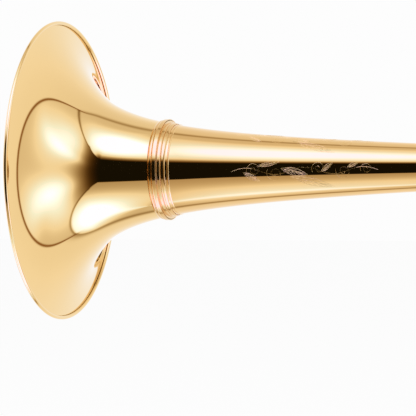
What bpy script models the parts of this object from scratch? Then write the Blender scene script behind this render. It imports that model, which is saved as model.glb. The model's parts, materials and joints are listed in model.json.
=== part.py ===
"""Contrabass trombone in F with two rotary valves and a screw bell.

Lengths are in metres and +Z is up. The origin is the middle of the slide receiver's mouth, where the
left hand holds the instrument. +X runs back to the player and the bell opens towards -X. The bell
axis lies below the slide, and the mouthpiece side of the slide lies at -Y.
"""

import math

import bmesh
import bpy
from mathutils import Matrix, Vector

# Facets of round pieces
BELL_SIDES = 24
ROTOR_SIDES = 24
RING_SIDES = 16
COLLAR_SIDES = 12
KNUCKLE_SIDES = 12
PORT_SIDES = 10
TUBE_SIDES = 10
SLIDE_SIDES = 12
SMALL_SIDES = 8
BOW_STEPS = 6
PASSAGE_STEPS = 4
KNUCKLE_STEPS = 2
FLARE_STEPS = 10
FLARE_CROWDING = 1.9
STEM_CROWDING = 1.5
CURL_STEPS = 5
COIL_STEPS = 6
COIL_SIDES = 4
HOLE_SIDES = 8
WIRE_SIDES = 6
WIDE_BEAD_STEPS = 3

# Fits
GAP = 0.0003
SLIP_FIT = 0.00035
TURN_FIT = 0.0004
MERGE_DISTANCE = 0.000001
INSET = 0.0002
CUT_PAST = 0.003
SLOPE_STEP = 0.00005
SMOOTH_ANGLE = math.radians(38.0)

# Bell
BELL_DROP = 0.170
BELL_LENGTH = 0.720
BELL_RIM_RADIUS = 0.1335
BELL_WALL = 0.0007
RIM_CURL_RADIUS = 0.00135
RIM_CURL_TURN = math.radians(290.0)
RIM_WIRE_RADIUS = 0.00075
FLARE_JOIN = 0.045
FLARE_LENGTH = 0.02713
FLARE_POWER = 1.134
FLARE_OVERREACH = 0.00204
RIM_SLOPE = 1.5
LIP_HEIGHT = 0.020
LIP_REACH = 0.006
STEM_RADIUS = 0.02584
STEM_TAPER = 0.0359
TAIL_START = 0.300
TAIL_RADIUS = 0.0114
TAIL_SLEEVE_LENGTH = 0.080

# Screw ring at the bell's neck, its start measured from the rim
RING_START = 0.0924
RING_FRONT_LENGTH = 0.0079
RING_REAR_LENGTH = 0.0069
RING_SEAT_LENGTH = 0.0026
STEM_INSET = 0.0007
RING_HEIGHT = 0.00377
RING_THREAD_HEIGHT = 0.00143
RING_EDGE = 0.0004
RING_LIP = 0.0014
RING_LIP_REACH = 0.0003
RING_FOOT_REACH = 0.0009
RING_GROOVE = 0.0010
RING_FINE_BEAD = 0.0006
RING_FINE_BEAD_REACH = 0.0021
RING_GROOVE_REACH = 0.0031
RING_BEAD = 0.0003
RING_BEAD_START = 0.0037
RING_BEAD_REACH = 0.0050
RING_BAND_REACH = 0.0062
RING_REAR_STEP = 0.0031
RING_WIDE_BEAD = 0.0016
RING_WIDE_BEAD_LENGTH = 0.0040
WIDE_BEAD_EDGE = math.radians(30.0)
STEM_FRONT_STEPS = 4
STEM_REAR_STEPS = 3

# Main tubing
MAIN_BORE = 0.0077
TUBE_WALL = 0.0007
FERRULE_LENGTH = 0.014
FERRULE_LAP = 0.0018
FERRULE_WALL = 0.0009
FERRULE_CHAMFER = 0.0004
FERRULE_CHAMFER_LENGTH = 0.0012
WRAP_OFFSET = 0.062
WRAP_DROP = 0.060
REAR_BOW_X = 0.275
FRONT_BOW_X = 0.040

# Tuning slides
SLEEVE_LENGTH = 0.058
SLEEVE_GRIP = 0.006
SLIDE_LEG_LENGTH = 0.050
SLIDE_FERRULE_LENGTH = 0.008
SLIDE_BRACE_RADIUS = 0.0028
SLIDE_PULL = 0.040
PULL_ROOM = 0.004
MAIN_BAR_REACH = 0.0303

# Slide receiver and neckpipe
RECEIVER_LENGTH = 0.044
RECEIVER_SOCKET_DEPTH = 0.0345
RECEIVER_MOUTH_RADIUS = 0.0099
RECEIVER_END_RADIUS = 0.0093
RECEIVER_THREAD_RADIUS = 0.0112
RECEIVER_BODY_RADIUS = 0.0109
RECEIVER_THREAD_LENGTH = 0.013
RECEIVER_RING_LENGTH = 0.004
RECEIVER_RING_RADIUS = 0.0126
RECEIVER_RING_EDGE = 0.0006
RECEIVER_RING_CHAMFER = 0.0008
RECEIVER_END_BEAD = 0.0008

# Valves
VALVE_1_X = 0.115
VALVE_TILT = math.radians(25.0)
ROTOR_RADIUS = 0.019
ROTOR_LENGTH = 0.026
CASING_WALL = 0.0035
CASING_FACET_TURN = math.radians(2.0)
KNUCKLE_START = 0.022
KNUCKLE_BEND = 0.024
KNUCKLE_SINK = 0.0036
TOP_PLATE = 0.0057
SPINDLE_RADIUS = 0.0035
SPINDLE_RISE = 0.0115
BEARING_PLATE = 0.0037
CAP_RADIUS = 0.025
CAP_WALL = 0.0019
CAP_DEPTH = 0.0125
CAP_CHAMFER = 0.0015
CAP_DOME = 0.0006
CAP_DOME_RADIUS = 0.0112
PASSAGE_PAST = 0.004
STOP_PIN_RADIUS = 0.0095
STOP_ARM_THICKNESS = 0.004
STOP_HUB_RADIUS = 0.0065
STOP_HUB_WALL_LAP = 0.0015
STOP_ARM_WIDTH = 0.0048
STOP_FINGER_PAST = 0.002
STOP_REST_ANGLE = math.radians(45.0)
STOP_LINK_ANGLE = math.radians(225.0)
BUMPER_CIRCLE = 0.013
BUMPER_RADIUS = 0.0029
BUMPER_HEIGHT = 0.0048
BUMPER_POST_RADIUS = 0.0012
BUMPER_POST_ROOT = 0.001
BUMPER_ANGLE = math.radians(26.0)
VALVE_TURN = math.radians(90.0)

# Valve levers and links
LEVER_PIVOT_X = 0.062
LEVER_TURN = math.radians(24.0)
LEVER_LAYER = 0.0205
LEVER_THICKNESS = 0.0030
LEVER_ARM_WIDTH = 0.005
LEVER_BARREL_RADIUS = 0.0036
LEVER_BARREL_LENGTH = 0.0100
LEVER_BARREL_LAP = 0.0012
LEVER_PIN_RADIUS = 0.0015
LEVER_NECK_BELOW = 0.001
LEVER_NECK_ABOVE = 0.0025
PADDLE_REACH = 0.045
PADDLE_LENGTH = 0.026
PADDLE_WIDTH = 0.014
PADDLE_THICKNESS = 0.002
PADDLE_RISE = 0.005
PADDLE_NEAR_STEP = 0.0014
PADDLE_CORNER = 0.004
PADDLE_LAP = 0.0005
RISER_LENGTH = 0.007
SADDLE_LENGTH = 0.012
SADDLE_WALL = 0.0022
SADDLE_SINK = 0.0006
PIN_LAP = 0.0017
SADDLE_CLEARANCE = 0.0026
ROD_RADIUS = 0.0015
ROD_EYE_RADIUS = 0.0036
ROD_EYE_THICKNESS = 0.0026
ROD_LAP = 0.0014
SCREW_HEAD_RADIUS = 0.0024
SCREW_HEAD_HEIGHT = 0.0014
SCREW_HEAD_TAPER = 0.0003
SPRING_CLEARANCE = 0.0007
SPRING_END_ROOM = 0.0008
LEVER_SPRING_START = 0.0036
SPRING_WIRE_RADIUS = 0.0004
SPRING_TURNS = 3

# Valve loops, places along X measured from the receiver's mouth
LOOP_1_SLIDE_X = 0.306
LOOP_1_OUTER_BOW_X = 0.020
LOOP_1_LOWER_BOW_X = 0.070
LOOP_1_INNER_BOW_X = 0.215
LOOP_1_BOW_RADIUS = 0.045
LOOP_1_STEP = 0.0208
LOOP_1_SIDE_STEP = 0.019
LOOP_2_FRONT_BOW_X = 0.0504
LOOP_2_BOW_RADIUS = 0.048

# Braces
BRACE_ROD_RADIUS = 0.0032
BRACE_COLLAR_LENGTH = 0.010
BRACE_COLLAR_WALL = 0.0010
BRACE_SWELL = 1.5
BRACE_FOOT = 0.003
BRACE_SINK = 0.0006
BRACE_BEAD = 0.004
BELL_BRACE_FRONT_X = 0.028
BELL_BRACE_REACH = 0.097
WRAP_BRACE_X = 0.170

# Hand slide
SLIDE_SPACING = 0.095
SLIDE_BORE = 0.0075
INNER_TUBE_RADIUS = 0.0080
STOCKING_RADIUS = 0.00815
STOCKING_LENGTH = 0.110
STOCKING_STEP = 0.002
INNER_TUBE_FRONT = -0.750
OUTER_TUBE_RADIUS = 0.0090
OUTER_TUBE_FRONT = -0.770
OUTER_TUBE_REAR = -0.0196
TENON_COLLAR_RADIUS = 0.0106
TENON_COLLAR_LENGTH = 0.0027
TENON_LENGTH = 0.034
TENON_NECK = 0.007
TENON_NECK_RELIEF = 0.0004
LOCK_NUT_REAR = 0.0125
LOCK_NUT_FRONT = -0.0060
LOCK_NUT_RADIUS = 0.0142
LOCK_NUT_CHAMFER = 0.0012
LOCK_NUT_CONE = 0.003
BARREL_FRONT = -0.062
BARREL_REAR = -0.0075
BARREL_RADIUS = 0.0116
BARREL_BORE = 0.0097
BARREL_END_WALL = 0.0025
BARREL_BEAD = 0.0008
BARREL_BEAD_REACH = 0.0022
CORK_LENGTH = 0.0087
GRIP_X = -0.034
GRIP_RADIUS = 0.0055
GRIP_COLLAR_LENGTH = 0.014
GRIP_COLLAR_WALL = 0.0011
GRIP_FOOT = 0.005
LOCK_RING_REAR = -0.045
LOCK_RING_FRONT = -0.055
LOCK_RING_WALL = 0.0018
LOCK_RING_EDGE = 0.0006
LOCK_RING_CHAMFER = 0.001
LOCK_ARM_HALF_WIDTH = 0.003
LOCK_ARM_SINK = 0.0006
LOCK_ARM_RISE = 0.001
LOCK_ARM_LAP = 0.002
LOCK_HOOK_FRONT = -0.0790
LOCK_HOOK_THICKNESS = 0.0020
LOCK_HOOK_REACH = 0.007
LOCK_STUD_RADIUS = 0.0017
LOCK_STUD_ROOT = 0.0005
LOCK_STUD_PAST = 0.0018
LOCK_HOOK_TURN = math.radians(30.0)
LOCK_STUD_AHEAD = math.radians(31.0)
OUTER_BRACE_X = -0.080
OUTER_BRACE_RADIUS = 0.0045
OUTER_COLLAR_LENGTH = 0.016
OUTER_COLLAR_WALL = 0.0010
CROOK_SLEEVE_REAR = -0.757
CROOK_SLEEVE_FRONT = -0.779
CROOK_BOW_X = -0.790
CROOK_BORE = 0.0079
CROOK_BOSS_RADIUS = 0.0060
CROOK_BOSS_LENGTH = 0.012
CROOK_BOSS_LAP = 0.0004
BUMPER_TIP_RADIUS = 0.0095
BUMPER_TIP_LENGTH = 0.017
BUMPER_TIP_FACE = 0.008
BUMPER_TIP_FACE_RADIUS = 0.0066
BUMPER_TIP_ROUND = 0.003

# Water key on the crook
WATER_KEY_HOLE_X = -0.7860
WATER_KEY_PIVOT_X = -0.7680
WATER_NIPPLE_RADIUS = 0.0036
WATER_NIPPLE_HEIGHT = 0.0125
WATER_HOLE_RADIUS = 0.0018
WATER_HOLE_PAST = 0.002
WATER_KEY_PIVOT_HEIGHT = 0.0160
WATER_KEY_REACH = 0.030
WATER_KEY_WIDTH = 0.010
WATER_ARM_WIDTH = 0.0048
WATER_KEY_THICKNESS = 0.0016
WATER_PAD_RADIUS = 0.0046
WATER_PAD_THICKNESS = 0.0022
WATER_CUP_WALL = 0.0004
WATER_BARREL_RADIUS = 0.0028
WATER_BARREL_LAP = 0.0011
WATER_BACK_ARM_LOW = 0.0004
WATER_POST_THICKNESS = 0.0020
WATER_POST_ROOT = 0.0002
WATER_PIN_LAP = 0.001

# Mouthpiece side
MOUTH_TUBE_REAR = 0.018
MOUTH_RECEIVER_REAR = 0.080
MOUTH_RECEIVER_RADIUS = 0.0096
MOUTH_RECEIVER_BORE = 0.0086
MOUTH_RING_RADIUS = 0.0112
MOUTH_RING_LENGTH = 0.004
MOUTH_RING_SLOPE = 0.001
MOUTH_RING_EDGE = 0.0005
LEADPIPE_FRONT = -0.180
LEADPIPE_RADIUS = 0.0072
LEADPIPE_BORE = 0.0063
LEADPIPE_THROAT_STEP = 0.0008
LEADPIPE_EDGE = 0.0005
LEADPIPE_MOUTH_RADIUS = 0.0083
LEADPIPE_MOUTH_TAPER = 0.0004
LEADPIPE_SWELL_LENGTH = 0.006
LEADPIPE_PROUD = 0.0006
LEADPIPE_STEP = 0.002
LEADPIPE_THROAT_REACH = 0.010
SHANK_TIP_X = 0.048
SHANK_TIP_RADIUS = 0.00635
SHANK_TAPER = 0.020
SHANK_WALL = 0.0009
SHANK_LENGTH = 0.048
SHANK_SHOULDER = 0.0006
SHANK_BARE_START = 0.004
MOUTHPIECE_LENGTH = 0.094
CUP_RADIUS = 0.0205
CUP_BORE = 0.0148
CUP_DEPTH = 0.034
CUP_STEPS = 4
CUP_STEP = 0.0010
CUP_BULGE = 1.7
CUP_WAIST = 0.036
CUP_WAIST_RADIUS = 0.0107
RIM_INNER_ROUND = 0.0030
RIM_OUTER_ROUND = 0.0030
THROAT_RADIUS = 0.0039
THROAT_LENGTH = 0.010
THROAT_BLEND = 0.002

# Sizes that follow from the ones above
MAIN_RADIUS = MAIN_BORE + TUBE_WALL
VALVE_DROP = (KNUCKLE_START - KNUCKLE_BEND) / math.sqrt(2.0) + KNUCKLE_BEND
PORT_REACH = (KNUCKLE_START + KNUCKLE_BEND) / math.sqrt(2.0)
VALVE_2_X = VALVE_1_X + 2.0 * PORT_REACH + GAP
LOOP_DEPTH = 2.0 * VALVE_DROP
CASING_RADIUS = ROTOR_RADIUS + GAP + CASING_WALL
CASING_HALF = ROTOR_LENGTH / 2.0 + GAP + TOP_PLATE
KNUCKLE_ROOT = ROTOR_RADIUS - KNUCKLE_SINK
SLEEVE_BORE = MAIN_RADIUS + SLIP_FIT
SLEEVE_RADIUS = SLEEVE_BORE + TUBE_WALL
RING_JOINT = RING_START + RING_FRONT_LENGTH
RING_END = RING_JOINT + RING_REAR_LENGTH
FLARE_END = RING_START + RING_SEAT_LENGTH
STEM_START = RING_JOINT + STEM_INSET
LOOP_2_SLIDE_X = VALVE_2_X + PORT_REACH + SLEEVE_LENGTH - SLEEVE_GRIP
LOOP_2_END_X = LOOP_2_SLIDE_X + GAP + SLIDE_FERRULE_LENGTH + LOOP_2_BOW_RADIUS + MAIN_RADIUS
MAIN_BAR_X = LOOP_2_END_X + SLIDE_PULL + PULL_ROOM
BELL_TAIL_X = MAIN_BAR_X - MAIN_BAR_REACH - SLIDE_FERRULE_LENGTH - GAP
BELL_RIM_X = BELL_TAIL_X - BELL_LENGTH
BELL_BRACE_REAR_X = BELL_TAIL_X - BELL_BRACE_REACH
LEVER_SHORT_ARM = STOP_PIN_RADIUS * math.sin(VALVE_TURN / 2.0) / math.sin(LEVER_TURN / 2.0)
STOP_PIN_OFFSET = STOP_PIN_RADIUS * math.cos(VALVE_TURN / 2.0)
LEVER_PIVOT_RISE = LEVER_SHORT_ARM * math.cos(LEVER_TURN / 2.0) - STOP_PIN_OFFSET
OUTER_TUBE_BORE = STOCKING_RADIUS + SLIP_FIT
CROOK_BOW_RADIUS = SLIDE_SPACING / 2.0

X_AXIS = Vector((1.0, 0.0, 0.0))
Y_AXIS = Vector((0.0, 1.0, 0.0))
Z_AXIS = Vector((0.0, 0.0, 1.0))
TURN_X_TO_Y = (0.0, 0.0, math.pi / 2.0)
TURN_X_TO_Z = (0.0, -math.pi / 2.0, 0.0)


def clear_scene():
    for item in list(bpy.data.objects):
        bpy.data.objects.remove(item, do_unlink=True)


def finish(name, colour, metallic, roughness):
    material = bpy.data.materials.new(name)
    material.use_nodes = True
    shader = material.node_tree.nodes["Principled BSDF"]
    shader.inputs["Base Color"].default_value = (*colour, 1.0)
    shader.inputs["Metallic"].default_value = metallic
    shader.inputs["Roughness"].default_value = roughness
    return material


FINISHES = {
    "yellow_brass": ((0.86, 0.62, 0.25), 1.0, 0.12),
    "rose_brass": ((0.84, 0.52, 0.27), 1.0, 0.15),
    "nickel_silver": ((0.78, 0.75, 0.68), 1.0, 0.18),
    "chrome": ((0.80, 0.81, 0.82), 1.0, 0.08),
    "steel": ((0.62, 0.62, 0.62), 1.0, 0.30),
    "silver_plate": ((0.90, 0.88, 0.83), 1.0, 0.10),
    "rubber": ((0.03, 0.03, 0.03), 0.0, 0.70),
    "cork": ((0.55, 0.38, 0.22), 0.0, 0.85),
}


def frame(name, parent=None, location=(0.0, 0.0, 0.0), rotation=(0.0, 0.0, 0.0)):
    """An empty that carries the pieces of one axis."""
    empty = bpy.data.objects.new(name, None)
    bpy.context.scene.collection.objects.link(empty)
    empty.parent = parent
    empty.location = location
    empty.rotation_euler = rotation
    return empty


def place(name, mesh, look, parent, location=(0.0, 0.0, 0.0), rotation=(0.0, 0.0, 0.0)):
    """Turn a finished mesh into one named piece with a finish of its own."""
    data = bpy.data.meshes.new(name)
    mesh.to_mesh(data)
    mesh.free()
    data.shade_smooth()
    data.set_sharp_from_angle(angle=SMOOTH_ANGLE)
    data.materials.append(finish(name, *FINISHES[look]))
    piece = bpy.data.objects.new(name, data)
    bpy.context.scene.collection.objects.link(piece)
    piece.parent = parent
    piece.location = location
    piece.rotation_euler = rotation
    return piece


def combine(piece, mesh, operation, location=(0.0, 0.0, 0.0), rotation=(0.0, 0.0, 0.0)):
    """Add a shape to a piece, or cut it away, by an exact Boolean in the piece's own frame."""
    data = bpy.data.meshes.new(piece.name + "_" + operation.lower())
    mesh.to_mesh(data)
    mesh.free()
    tool = bpy.data.objects.new(data.name, data)
    bpy.context.scene.collection.objects.link(tool)
    tool.parent = piece
    tool.location = location
    tool.rotation_euler = rotation
    tool.hide_render = True
    tool.display_type = "WIRE"
    change = piece.modifiers.new(operation.title(), "BOOLEAN")
    change.operation = operation
    change.solver = "EXACT"
    change.object = tool


def closed(mesh):
    bmesh.ops.remove_doubles(mesh, verts=mesh.verts, dist=MERGE_DISTANCE)
    bmesh.ops.recalc_face_normals(mesh, faces=mesh.faces)
    return mesh


def turned(profile, sides):
    """Spin an outline of (x, radius) points about the X axis."""
    mesh = bmesh.new()
    corners = [mesh.verts.new((x, 0.0, radius)) for x, radius in profile]
    edges = [mesh.edges.new(pair) for pair in zip(corners, corners[1:])]
    on_axis = profile[0][1] == 0.0 and profile[-1][1] == 0.0
    if not on_axis:
        edges.append(mesh.edges.new((corners[-1], corners[0])))
    bmesh.ops.spin(mesh, geom=corners + edges, cent=(0.0, 0.0, 0.0), axis=X_AXIS,
                   angle=2.0 * math.pi, steps=sides, use_merge=True)
    return closed(mesh)


def clear_bore(radius, sides):
    """Corner radius of a faceted bore whose flats still clear the given radius."""
    return radius / math.cos(math.pi / sides)


def pipe_profile(start, end, bore, radius):
    return [(start, bore), (end, bore), (end, radius), (start, radius)]


def pipe(start, end, bore, radius, sides):
    return turned(pipe_profile(start, end, bore, radius), sides)


def rod(start, end, radius, sides=SMALL_SIDES):
    return turned([(start, 0.0), (start, radius), (end, radius), (end, 0.0)], sides)


def block(low, high):
    """A box between two corners."""
    low = Vector(low)
    high = Vector(high)
    mesh = bmesh.new()
    size = high - low
    matrix = Matrix.Translation((low + high) / 2.0) @ Matrix.Diagonal((*size, 1.0))
    bmesh.ops.create_cube(mesh, size=1.0, matrix=matrix)
    return mesh


def moved(mesh, matrix):
    bmesh.ops.transform(mesh, matrix=matrix, verts=mesh.verts)
    if matrix.determinant() < 0.0:
        bmesh.ops.reverse_faces(mesh, faces=mesh.faces)
    return mesh


class Route:
    """A tube's centre line, laid as a pipe bender lays it: straight runs and round bends.

    Each station holds its point, heading, side direction, bore and outer radius.
    """

    def __init__(self, start, heading, side, bore, radius):
        heading = Vector(heading).normalized()
        side = Vector(side).normalized()
        self.stations = [(Vector(start), heading, side, bore, radius)]

    def straight(self, length):
        point, heading, side, bore, radius = self.stations[-1]
        self.stations.append((point + heading * length, heading, side, bore, radius))
        return self

    def step(self, bore, radius):
        """Go on from the same point with another bore or outer radius."""
        point, heading, side, _, _ = self.stations[-1]
        self.stations.append((point, heading, side, bore, radius))
        return self

    def bend(self, angle, bow_radius, axis, steps=BOW_STEPS, end_bore=None, end_radius=None):
        """Turn the heading by an angle about an axis on a round arc, with a taper if ends are given."""
        point, heading, side, bore, radius = self.stations[-1]
        end_bore = bore if end_bore is None else end_bore
        end_radius = radius if end_radius is None else end_radius
        axis = Vector(axis).normalized()
        centre = point + axis.cross(heading) * bow_radius
        for step in range(1, steps + 1):
            share = step / steps
            turn = Matrix.Rotation(angle * share, 3, axis)
            self.stations.append((centre + turn @ (point - centre), turn @ heading, turn @ side,
                                  bore + (end_bore - bore) * share, radius + (end_radius - radius) * share))
        return self

    def sleeve(self):
        """From a sleeve's mouth back to the fixed tube that it is soldered over."""
        self.straight(SLEEVE_LENGTH - SLEEVE_GRIP).step(MAIN_BORE, SLEEVE_RADIUS)
        return self.straight(SLEEVE_GRIP).step(MAIN_BORE, MAIN_RADIUS)


def circle(mesh, point, heading, side, radius, sides):
    across = heading.cross(side)
    corners = []
    for index in range(sides):
        angle = 2.0 * math.pi * index / sides
        outward = side * math.cos(angle) + across * math.sin(angle)
        corners.append(mesh.verts.new(point + outward * radius))
    return corners


def skin(mesh, rings, around=False):
    """Faces between neighbouring rings; around also joins the last ring to the first."""
    pairs = list(zip(rings, rings[1:]))
    if around:
        pairs.append((rings[-1], rings[0]))
    for first, second in pairs:
        count = len(first)
        for index in range(count):
            after = (index + 1) % count
            mesh.faces.new((first[index], first[after], second[after], second[index]))


def bent_pipe(route, sides=TUBE_SIDES):
    """A hollow tube along a route."""
    mesh = bmesh.new()
    outside = [circle(mesh, p, h, s, radius, sides) for p, h, s, _, radius in route.stations]
    inside = [circle(mesh, p, h, s, bore, sides) for p, h, s, bore, _ in route.stations]
    skin(mesh, outside + inside[::-1], around=True)
    return closed(mesh)


def bent_rod(route, sides=TUBE_SIDES):
    """A solid bar along a route."""
    mesh = bmesh.new()
    rings = [circle(mesh, p, h, s, radius, sides) for p, h, s, _, radius in route.stations]
    skin(mesh, rings)
    mesh.faces.new(rings[0][::-1])
    mesh.faces.new(rings[-1])
    return closed(mesh)


def ferrule(joint, grip_sign, sides=TUBE_SIDES):
    """Ring soldered on one tube's end at a joint and slipped over the next tube's end.

    grip_sign says on which side of the joint, along X, the tube lies that carries it.
    """
    half = FERRULE_LENGTH / 2.0
    inside = (MAIN_BORE + MAIN_RADIUS) / 2.0
    loose = clear_bore(MAIN_RADIUS + GAP, sides)
    outer = loose + FERRULE_WALL
    profile = [
        (grip_sign * half, inside),
        (0.0, inside),
        (0.0, loose),
        (-grip_sign * FERRULE_LAP, loose),
        (-grip_sign * FERRULE_LAP, outer),
        (grip_sign * (half - FERRULE_CHAMFER_LENGTH), outer),
        (grip_sign * half, outer - FERRULE_CHAMFER),
    ]
    return moved(turned(profile, sides), Matrix.Translation(joint))


def edge_radius():
    """Outer radius of the flare's sheet where the rolled rim starts."""
    return BELL_RIM_RADIUS - RIM_CURL_RADIUS - BELL_WALL / 2.0 - GAP


def neck_radius(behind_rim):
    """Outer radius of the neck and the stem, a curve that would open past the edge if it ran on."""
    spread = edge_radius() + FLARE_OVERREACH - STEM_RADIUS
    return STEM_RADIUS - STEM_TAPER * behind_rim + spread * (1.0 + behind_rim / FLARE_LENGTH) ** -FLARE_POWER


def neck_slope(behind_rim):
    spread = edge_radius() + FLARE_OVERREACH - STEM_RADIUS
    closing = (1.0 + behind_rim / FLARE_LENGTH) ** (-FLARE_POWER - 1.0)
    return -STEM_TAPER - spread * FLARE_POWER / FLARE_LENGTH * closing


def flare_radius(behind_rim):
    """Outer radius of the flare: a smooth blend from the edge to the neck's curve, and a lip over it."""
    if behind_rim >= FLARE_JOIN:
        return neck_radius(behind_rim)
    share = behind_rim / FLARE_JOIN
    lip = LIP_HEIGHT * (math.exp(-behind_rim / LIP_REACH) - math.exp(-FLARE_JOIN / LIP_REACH))
    start = (2.0 * share ** 3 - 3.0 * share ** 2 + 1.0) * (edge_radius() - LIP_HEIGHT)
    start_slope = (share ** 3 - 2.0 * share ** 2 + share) * FLARE_JOIN * RIM_SLOPE
    end = (3.0 * share ** 2 - 2.0 * share ** 3) * neck_radius(FLARE_JOIN)
    end_slope = (share ** 3 - share ** 2) * FLARE_JOIN * neck_slope(FLARE_JOIN)
    return lip + start - start_slope + end + end_slope


def stem_radius(behind_rim):
    """Outer radius of the stem, which eases from the flare's curve into the tail sleeve."""
    if behind_rim <= TAIL_START:
        return flare_radius(behind_rim)
    taper_end = BELL_LENGTH - TAIL_SLEEVE_LENGTH
    if behind_rim >= taper_end:
        return TAIL_RADIUS
    rise = neck_radius(TAIL_START) - TAIL_RADIUS
    length = taper_end - TAIL_START
    power = -neck_slope(TAIL_START) * length / rise
    return TAIL_RADIUS + rise * ((taper_end - behind_rim) / length) ** power


def flare_places(count, end):
    """Places along the flare that crowd together towards the rim, where it opens fastest."""
    return [end * (index / count) ** FLARE_CROWDING for index in range(count + 1)]


def make_bell_flare(axis):
    """Sheet flare whose edge is rolled back round a wire."""
    back = []
    front = []
    for place_s in reversed(flare_places(FLARE_STEPS, FLARE_END)):
        radius = flare_radius(place_s)
        slope = (flare_radius(place_s + SLOPE_STEP) - radius) / SLOPE_STEP
        size = math.hypot(1.0, slope)
        back.append((place_s, radius))
        front.append((place_s + slope / size * BELL_WALL, radius - BELL_WALL / size))
    middle = ((back[-1][0] + front[-1][0]) / 2.0, (back[-1][1] + front[-1][1]) / 2.0)
    along_back = Vector((back[-1][0] - front[-1][0], back[-1][1] - front[-1][1])).normalized()
    centre = Vector(middle) + along_back * RIM_CURL_RADIUS
    start = math.atan2(-along_back.y, -along_back.x)
    outer_curl = []
    inner_curl = []
    for index in range(1, CURL_STEPS + 1):
        angle = start - RIM_CURL_TURN * index / CURL_STEPS
        spoke = Vector((math.cos(angle), math.sin(angle)))
        outer_curl.append(tuple(centre + spoke * (RIM_CURL_RADIUS + BELL_WALL / 2.0)))
        inner_curl.append(tuple(centre + spoke * (RIM_CURL_RADIUS - BELL_WALL / 2.0)))
    profile = front + outer_curl + inner_curl[::-1] + back[::-1]
    place("bell_flare", turned(profile, BELL_SIDES), "yellow_brass", axis, (BELL_RIM_X, 0.0, 0.0))
    wire = []
    for index in range(WIRE_SIDES):
        angle = 2.0 * math.pi * index / WIRE_SIDES
        outward = Vector((math.cos(angle), math.sin(angle)))
        wire.append(tuple(centre + outward * RIM_WIRE_RADIUS))
    place("bell_rim_wire", turned(wire, BELL_SIDES), "steel", axis, (BELL_RIM_X, 0.0, 0.0))


def ring_radius():
    return flare_radius(RING_JOINT) + RING_HEIGHT


def ring_thread_radius():
    return flare_radius(FLARE_END) + RING_THREAD_HEIGHT


def make_bell_ring_front(axis):
    """Flare half of the screw ring: two fine beads, a plain band and the thread bore."""
    seat = flare_radius(RING_START) + GAP
    seat_end = flare_radius(FLARE_END) + GAP
    band = ring_radius()
    thread = ring_thread_radius() + GAP
    profile = [
        (RING_START, seat),
        (FLARE_END + GAP, seat_end),
        (FLARE_END + GAP, thread),
        (RING_JOINT, thread),
        (RING_JOINT, band - RING_BEAD / 2.0),
        (RING_JOINT - RING_EDGE, band),
        (RING_START + RING_BAND_REACH, band),
        (RING_START + RING_BEAD_REACH, band + RING_BEAD),
        (RING_START + RING_BEAD_START, band - RING_BEAD),
        (RING_START + RING_GROOVE_REACH, band - RING_GROOVE),
        (RING_START + RING_FINE_BEAD_REACH, band - RING_FINE_BEAD),
        (RING_START + RING_FOOT_REACH, band - RING_GROOVE),
        (RING_START + RING_LIP_REACH, band - RING_LIP),
    ]
    place("bell_ring_front", turned(profile, BELL_SIDES), "rose_brass", axis, (BELL_RIM_X, 0.0, 0.0))


def make_bell_ring_rear(axis):
    """Stem half of the screw ring: thread spigot, plain band and a wide bead on the stem."""
    bore_front = flare_radius(FLARE_END) - BELL_WALL
    spigot_front = FLARE_END + 2.0 * GAP
    band = ring_radius() - RING_REAR_STEP
    thread = ring_thread_radius()
    stem_seat = STEM_START - GAP
    bead_start = RING_END - RING_WIDE_BEAD_LENGTH
    bead = []
    for index in range(WIDE_BEAD_STEPS + 1):
        share = index / WIDE_BEAD_STEPS
        place_s = RING_END - RING_WIDE_BEAD_LENGTH * share
        swell = math.sin(WIDE_BEAD_EDGE + (math.pi - 2.0 * WIDE_BEAD_EDGE) * share)
        bead.append((place_s, flare_radius(place_s) + GAP + RING_WIDE_BEAD * swell))
    profile = [
        (spigot_front, bore_front),
        (stem_seat, flare_radius(stem_seat) - BELL_WALL),
        (stem_seat, flare_radius(stem_seat) + GAP),
        (RING_END, flare_radius(RING_END) + GAP),
        *bead,
        (bead_start, band - RING_EDGE),
        (bead_start - RING_EDGE, band),
        (RING_JOINT + GAP, band),
        (RING_JOINT + GAP, thread),
        (spigot_front, thread),
    ]
    place("bell_ring_rear", turned(profile, BELL_SIDES), "rose_brass", axis, (BELL_RIM_X, 0.0, 0.0))


def between(start, end, steps, power):
    """Places from start up to, but without, end, which crowd towards start for powers over 1."""
    return [start + (end - start) * (index / steps) ** power for index in range(steps)]


def make_bell_stem(axis):
    """Tapered stem that ends in the outer sleeve of the main tuning slide."""
    taper_end = BELL_LENGTH - TAIL_SLEEVE_LENGTH
    reach = BRACE_COLLAR_LENGTH / 2.0
    front_brace = BELL_BRACE_FRONT_X - BELL_RIM_X
    rear_brace = BELL_BRACE_REAR_X - BELL_RIM_X
    places = between(STEM_START, TAIL_START, STEM_FRONT_STEPS, STEM_CROWDING)
    places += [TAIL_START, front_brace - reach, front_brace + reach]
    places += between(front_brace + reach, rear_brace - reach, STEM_REAR_STEPS, 1.0)[1:]
    places += sorted([rear_brace - reach, rear_brace + reach, taper_end, BELL_LENGTH])
    outside = [(s, stem_radius(s)) for s in places]
    inside = [(s, stem_radius(s) - BELL_WALL) for s in places]
    profile = outside + inside[::-1]
    place("bell_stem", turned(profile, BELL_SIDES), "yellow_brass", axis, (BELL_RIM_X, 0.0, 0.0))


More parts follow.
